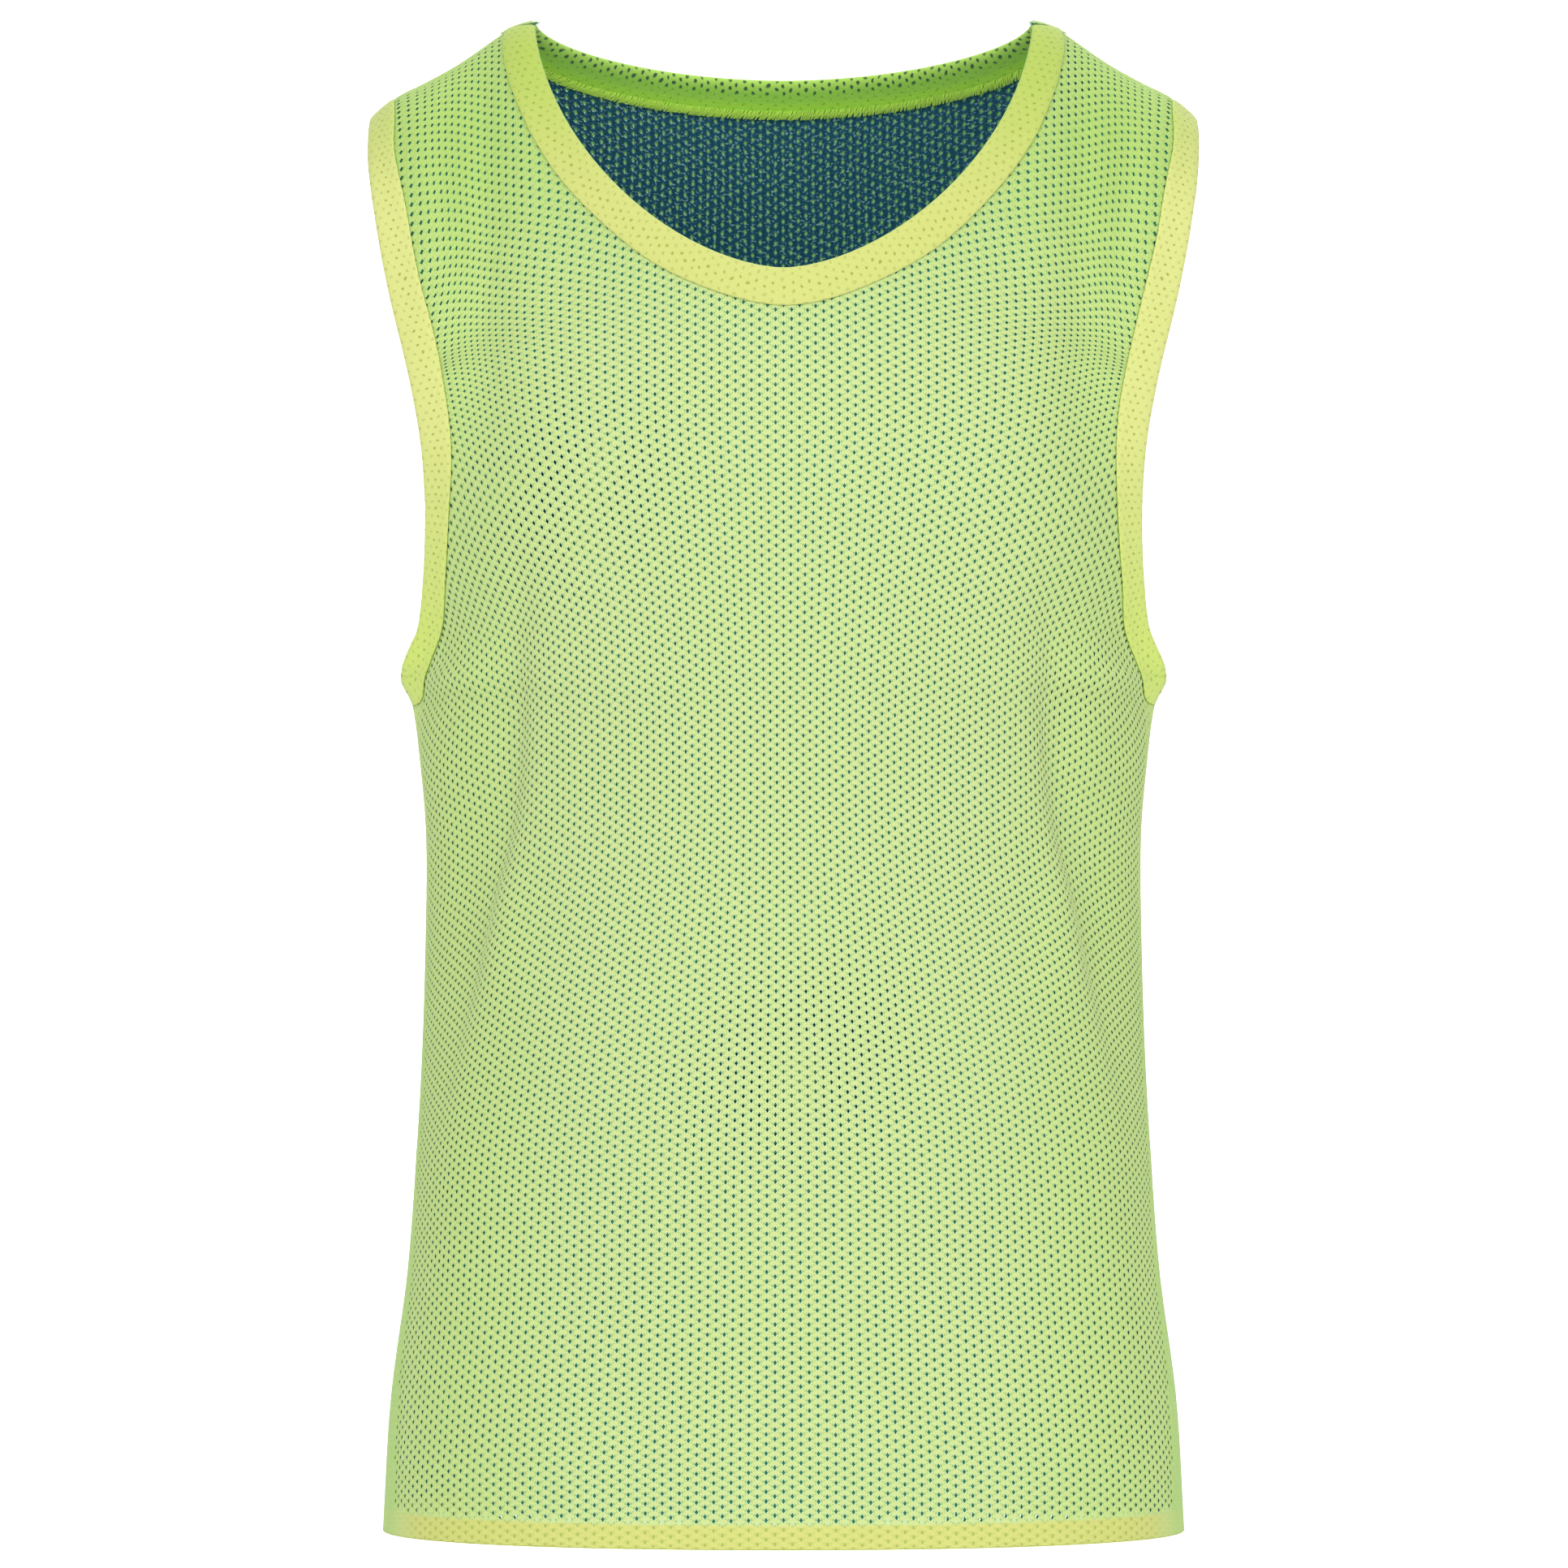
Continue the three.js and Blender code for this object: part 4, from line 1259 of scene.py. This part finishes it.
# %% [markdown]
# ## Make the bib
#
# Now every piece is cut, opened, worn, and put in place of its solid. At the front the second layer's net
# is shifted, stretched a touch and turned half a degree against the first, as two separately laid pieces of
# cloth are. That is what makes the broad patches of darker and bluer openings. At the back it lies one
# column aside, so that the openings of one layer meet the cloth of the other.

# %% Panels
front_outer = make_panel("front_outer_net", FRONT, LAYER_OFF, lime_knit)
back_outer = make_panel("back_outer_net", BACK, LAYER_OFF, lime_knit)
front_inner = make_panel("front_inner_net", FRONT, -LAYER_OFF, petrol_knit, 1.012, 0.009, (1.1, 0.8))
back_inner = make_panel("back_inner_net", BACK, -LAYER_OFF, petrol_knit, 1.0, 0.0015, (COLUMN, 0.0))

# %% Bindings, hem and seams
neck_band = make_binding("neck_band", neck, bound_band, 0.25, count=300)
armhole_band_left = make_binding("armhole_band_left", armhole, bound_band, 0.75, 1)
armhole_band_right = make_binding("armhole_band_right", armhole, bound_band, 0.75, -1)
hem_turn = make_hem("hem_turn", hem_cloth)
side_seam_left = make_allowance("side_seam_left", 1, hem_cloth)
side_seam_right = make_allowance("side_seam_right", -1, hem_cloth)

# %% Overlocked edges inside
OVERLOCK = dict(pitch=0.85, reach=4.2, slant=1.1, height=0.6, thread=0.36)  # mm
OVERLOCK_IN, OVERLOCK_DEEP = 15.4, 1.75  # mm from the cut edge, and inwards from the middle of the cloth


def make_overlock(name, edge, side=1):
    """The overlocked inner edge of a binding."""
    place = lambda x, y, z: place_on(edge, x, OVERLOCK_IN + y, -OVERLOCK_DEEP - z, side)
    return make_seam(name, edge["long"], place, thread, **OVERLOCK)


neck_overlock = make_overlock("neck_overlock", neck)
armhole_overlock_left = make_overlock("armhole_overlock_left", armhole, 1)
armhole_overlock_right = make_overlock("armhole_overlock_right", armhole, -1)

# %% Which solid each piece stands for
stands_for = {
    front_outer: ("front_outer", "lime_mesh"),
    back_outer: ("back_outer", "lime_mesh"),
    front_inner: ("front_inner", "petrol_mesh"),
    back_inner: ("back_inner", "petrol_mesh"),
    neck_band: ("neck_binding", "band"),
    armhole_band_left: ("armhole_binding_left", "band"),
    armhole_band_right: ("armhole_binding_right", "band"),
    hem_turn: ("hem_band", "band"),
}
extras = [side_seam_left, side_seam_right, neck_overlock, armhole_overlock_left, armhole_overlock_right]
for piece, (node, material_slot) in stands_for.items():
    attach(piece, "root")
    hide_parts(node)
for piece in extras:
    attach(piece, "root")

# %% [markdown]
# ## What each piece of cloth was cut to
#
# The flat size of each sheet is worked out here. The panels' sizes are measured on the pattern itself, and
# the strips' widths and lengths are listed.

def flat_area(face):
    """Area in square metres of a panel's pattern, from the hem to the neck, shoulder and armhole edges."""
    step = 2.0
    grid = np.meshgrid(np.arange(1, NET_WIDE, step), np.arange(HEM_H, NET_HIGH, step))
    a, h = [part.ravel() for part in grid]
    inside = (a < side_at(face, h)) & (h < top_at(face, a))
    a, h = a[inside], h[inside]
    return 2 * step * step * float((into_cloth(face, a, h) > 0).sum()) / 1e6


for piece, face in ((front_outer, FRONT), (back_outer, BACK), (front_inner, FRONT), (back_inner, BACK)):
    area = flat_area(face)

STRIP_WIDE, TURN_WIDE, SEAM_LONG = 0.035, 0.034, 0.37  # metres
strips = {
    neck_band: (STRIP_WIDE, neck["long"] / 1000),
    armhole_band_left: (STRIP_WIDE, armhole["long"] / 1000),
    armhole_band_right: (STRIP_WIDE, armhole["long"] / 1000),
    hem_turn: (TURN_WIDE, HEM_LONG / 1000),
    side_seam_left: (2 * ALLOWANCE / 1000, SEAM_LONG),
    side_seam_right: (2 * ALLOWANCE / 1000, SEAM_LONG),
}

# %% [markdown]
# ## Stage, light and camera
#
# The photograph is taken straight on from a few metres away, in soft light on a white ground. A long lens
# at about that distance gives the same slight curve of the hem.

# %% A pale floor that curves up behind
def make_stage():
    """A plain pale sweep: floor, curve and wall in one sheet."""
    low, front, near, curve, half_wide, tall = -1.4, -9.0, 7.0, 1.2, 9.0, 7.0
    profile = [(front, low), (near, low)]
    for t in np.linspace(0.1, math.pi / 2, 12):
        profile.append((near + curve * math.sin(t), low + curve * (1 - math.cos(t))))
    profile.append((near + curve, tall))
    points = [(x, y, z) for y, z in profile for x in (-half_wide, half_wide)]
    faces = [(2 * i, 2 * i + 1, 2 * i + 3, 2 * i + 2) for i in range(len(profile) - 1)]
    paper = bpy.data.materials.new("pale_paper")
    paper.use_nodes = True
    shader = paper.node_tree.nodes["Principled BSDF"]
    shader.inputs["Base Color"].default_value = (0.93, 0.93, 0.93, 1)
    shader.inputs["Roughness"].default_value = 0.9
    floor = new_piece("pale_floor", points, faces, paper)
    floor.data.shade_smooth()
    floor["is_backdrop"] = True


make_stage()


def add_light(name, place, target, size, power):
    """A soft square light that looks at a point."""
    lamp = bpy.data.lights.new(name, "AREA")
    lamp.size, lamp.energy = size, power
    light = bpy.data.objects.new(name, lamp)
    bpy.context.scene.collection.objects.link(light)
    light.location = place
    light.rotation_mode = "QUATERNION"
    light.rotation_quaternion = (Vector(target) - Vector(place)).to_track_quat("-Z", "Y")


MIDDLE = (0, 0, -0.33)
add_light("key", (-1.6, -3.4, 1.7), MIDDLE, 2.4, 58)
add_light("fill", (2.2, -3.0, 0.6), MIDDLE, 2.6, 36.5)
add_light("top", (0, 0.1, 3.0), MIDDLE, 2.2, 14)
add_light("behind", (0.3, 1.6, 1.9), MIDDLE, 1.6, 20)
add_light("backdrop", (0, 5.9, 1.6), (0, 8.2, -0.4), 3.2, 130)
world = bpy.data.worlds.new("studio")
world.use_nodes = True
background = world.node_tree.nodes["Background"]
background.inputs["Color"].default_value = (1, 1, 1, 1)
background.inputs["Strength"].default_value = 0.6
bpy.context.scene.world = world
bpy.context.scene.view_settings.view_transform = "Standard"

# %% The camera, straight on
CAMERA_FAR, CAMERA_ASIDE = 4.8, 0.0002  # metres
FRAME_WIDE = 0.7172  # metres across the picture at the bib's middle
PICTURE_MIDDLE_Z = -0.3308
lens = bpy.data.cameras.new("camera")
lens.sensor_width = 36
lens.lens = lens.sensor_width * CAMERA_FAR / FRAME_WIDE
lens.clip_end = 60
camera = bpy.data.objects.new("camera", lens)
bpy.context.scene.collection.objects.link(camera)
camera.location = (CAMERA_ASIDE, -CAMERA_FAR, PICTURE_MIDDLE_Z)
camera.rotation_euler = (math.pi / 2, 0, 0)
bpy.context.scene.camera = camera

# %% Measure and finish
low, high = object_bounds()
for word, ours, solid in (("low", low, cad_low), ("high", high, cad_high)):
    print(word, "end past the solids, mm:", [round(1000 * (a - b), 1) for a, b in zip(ours, solid)])
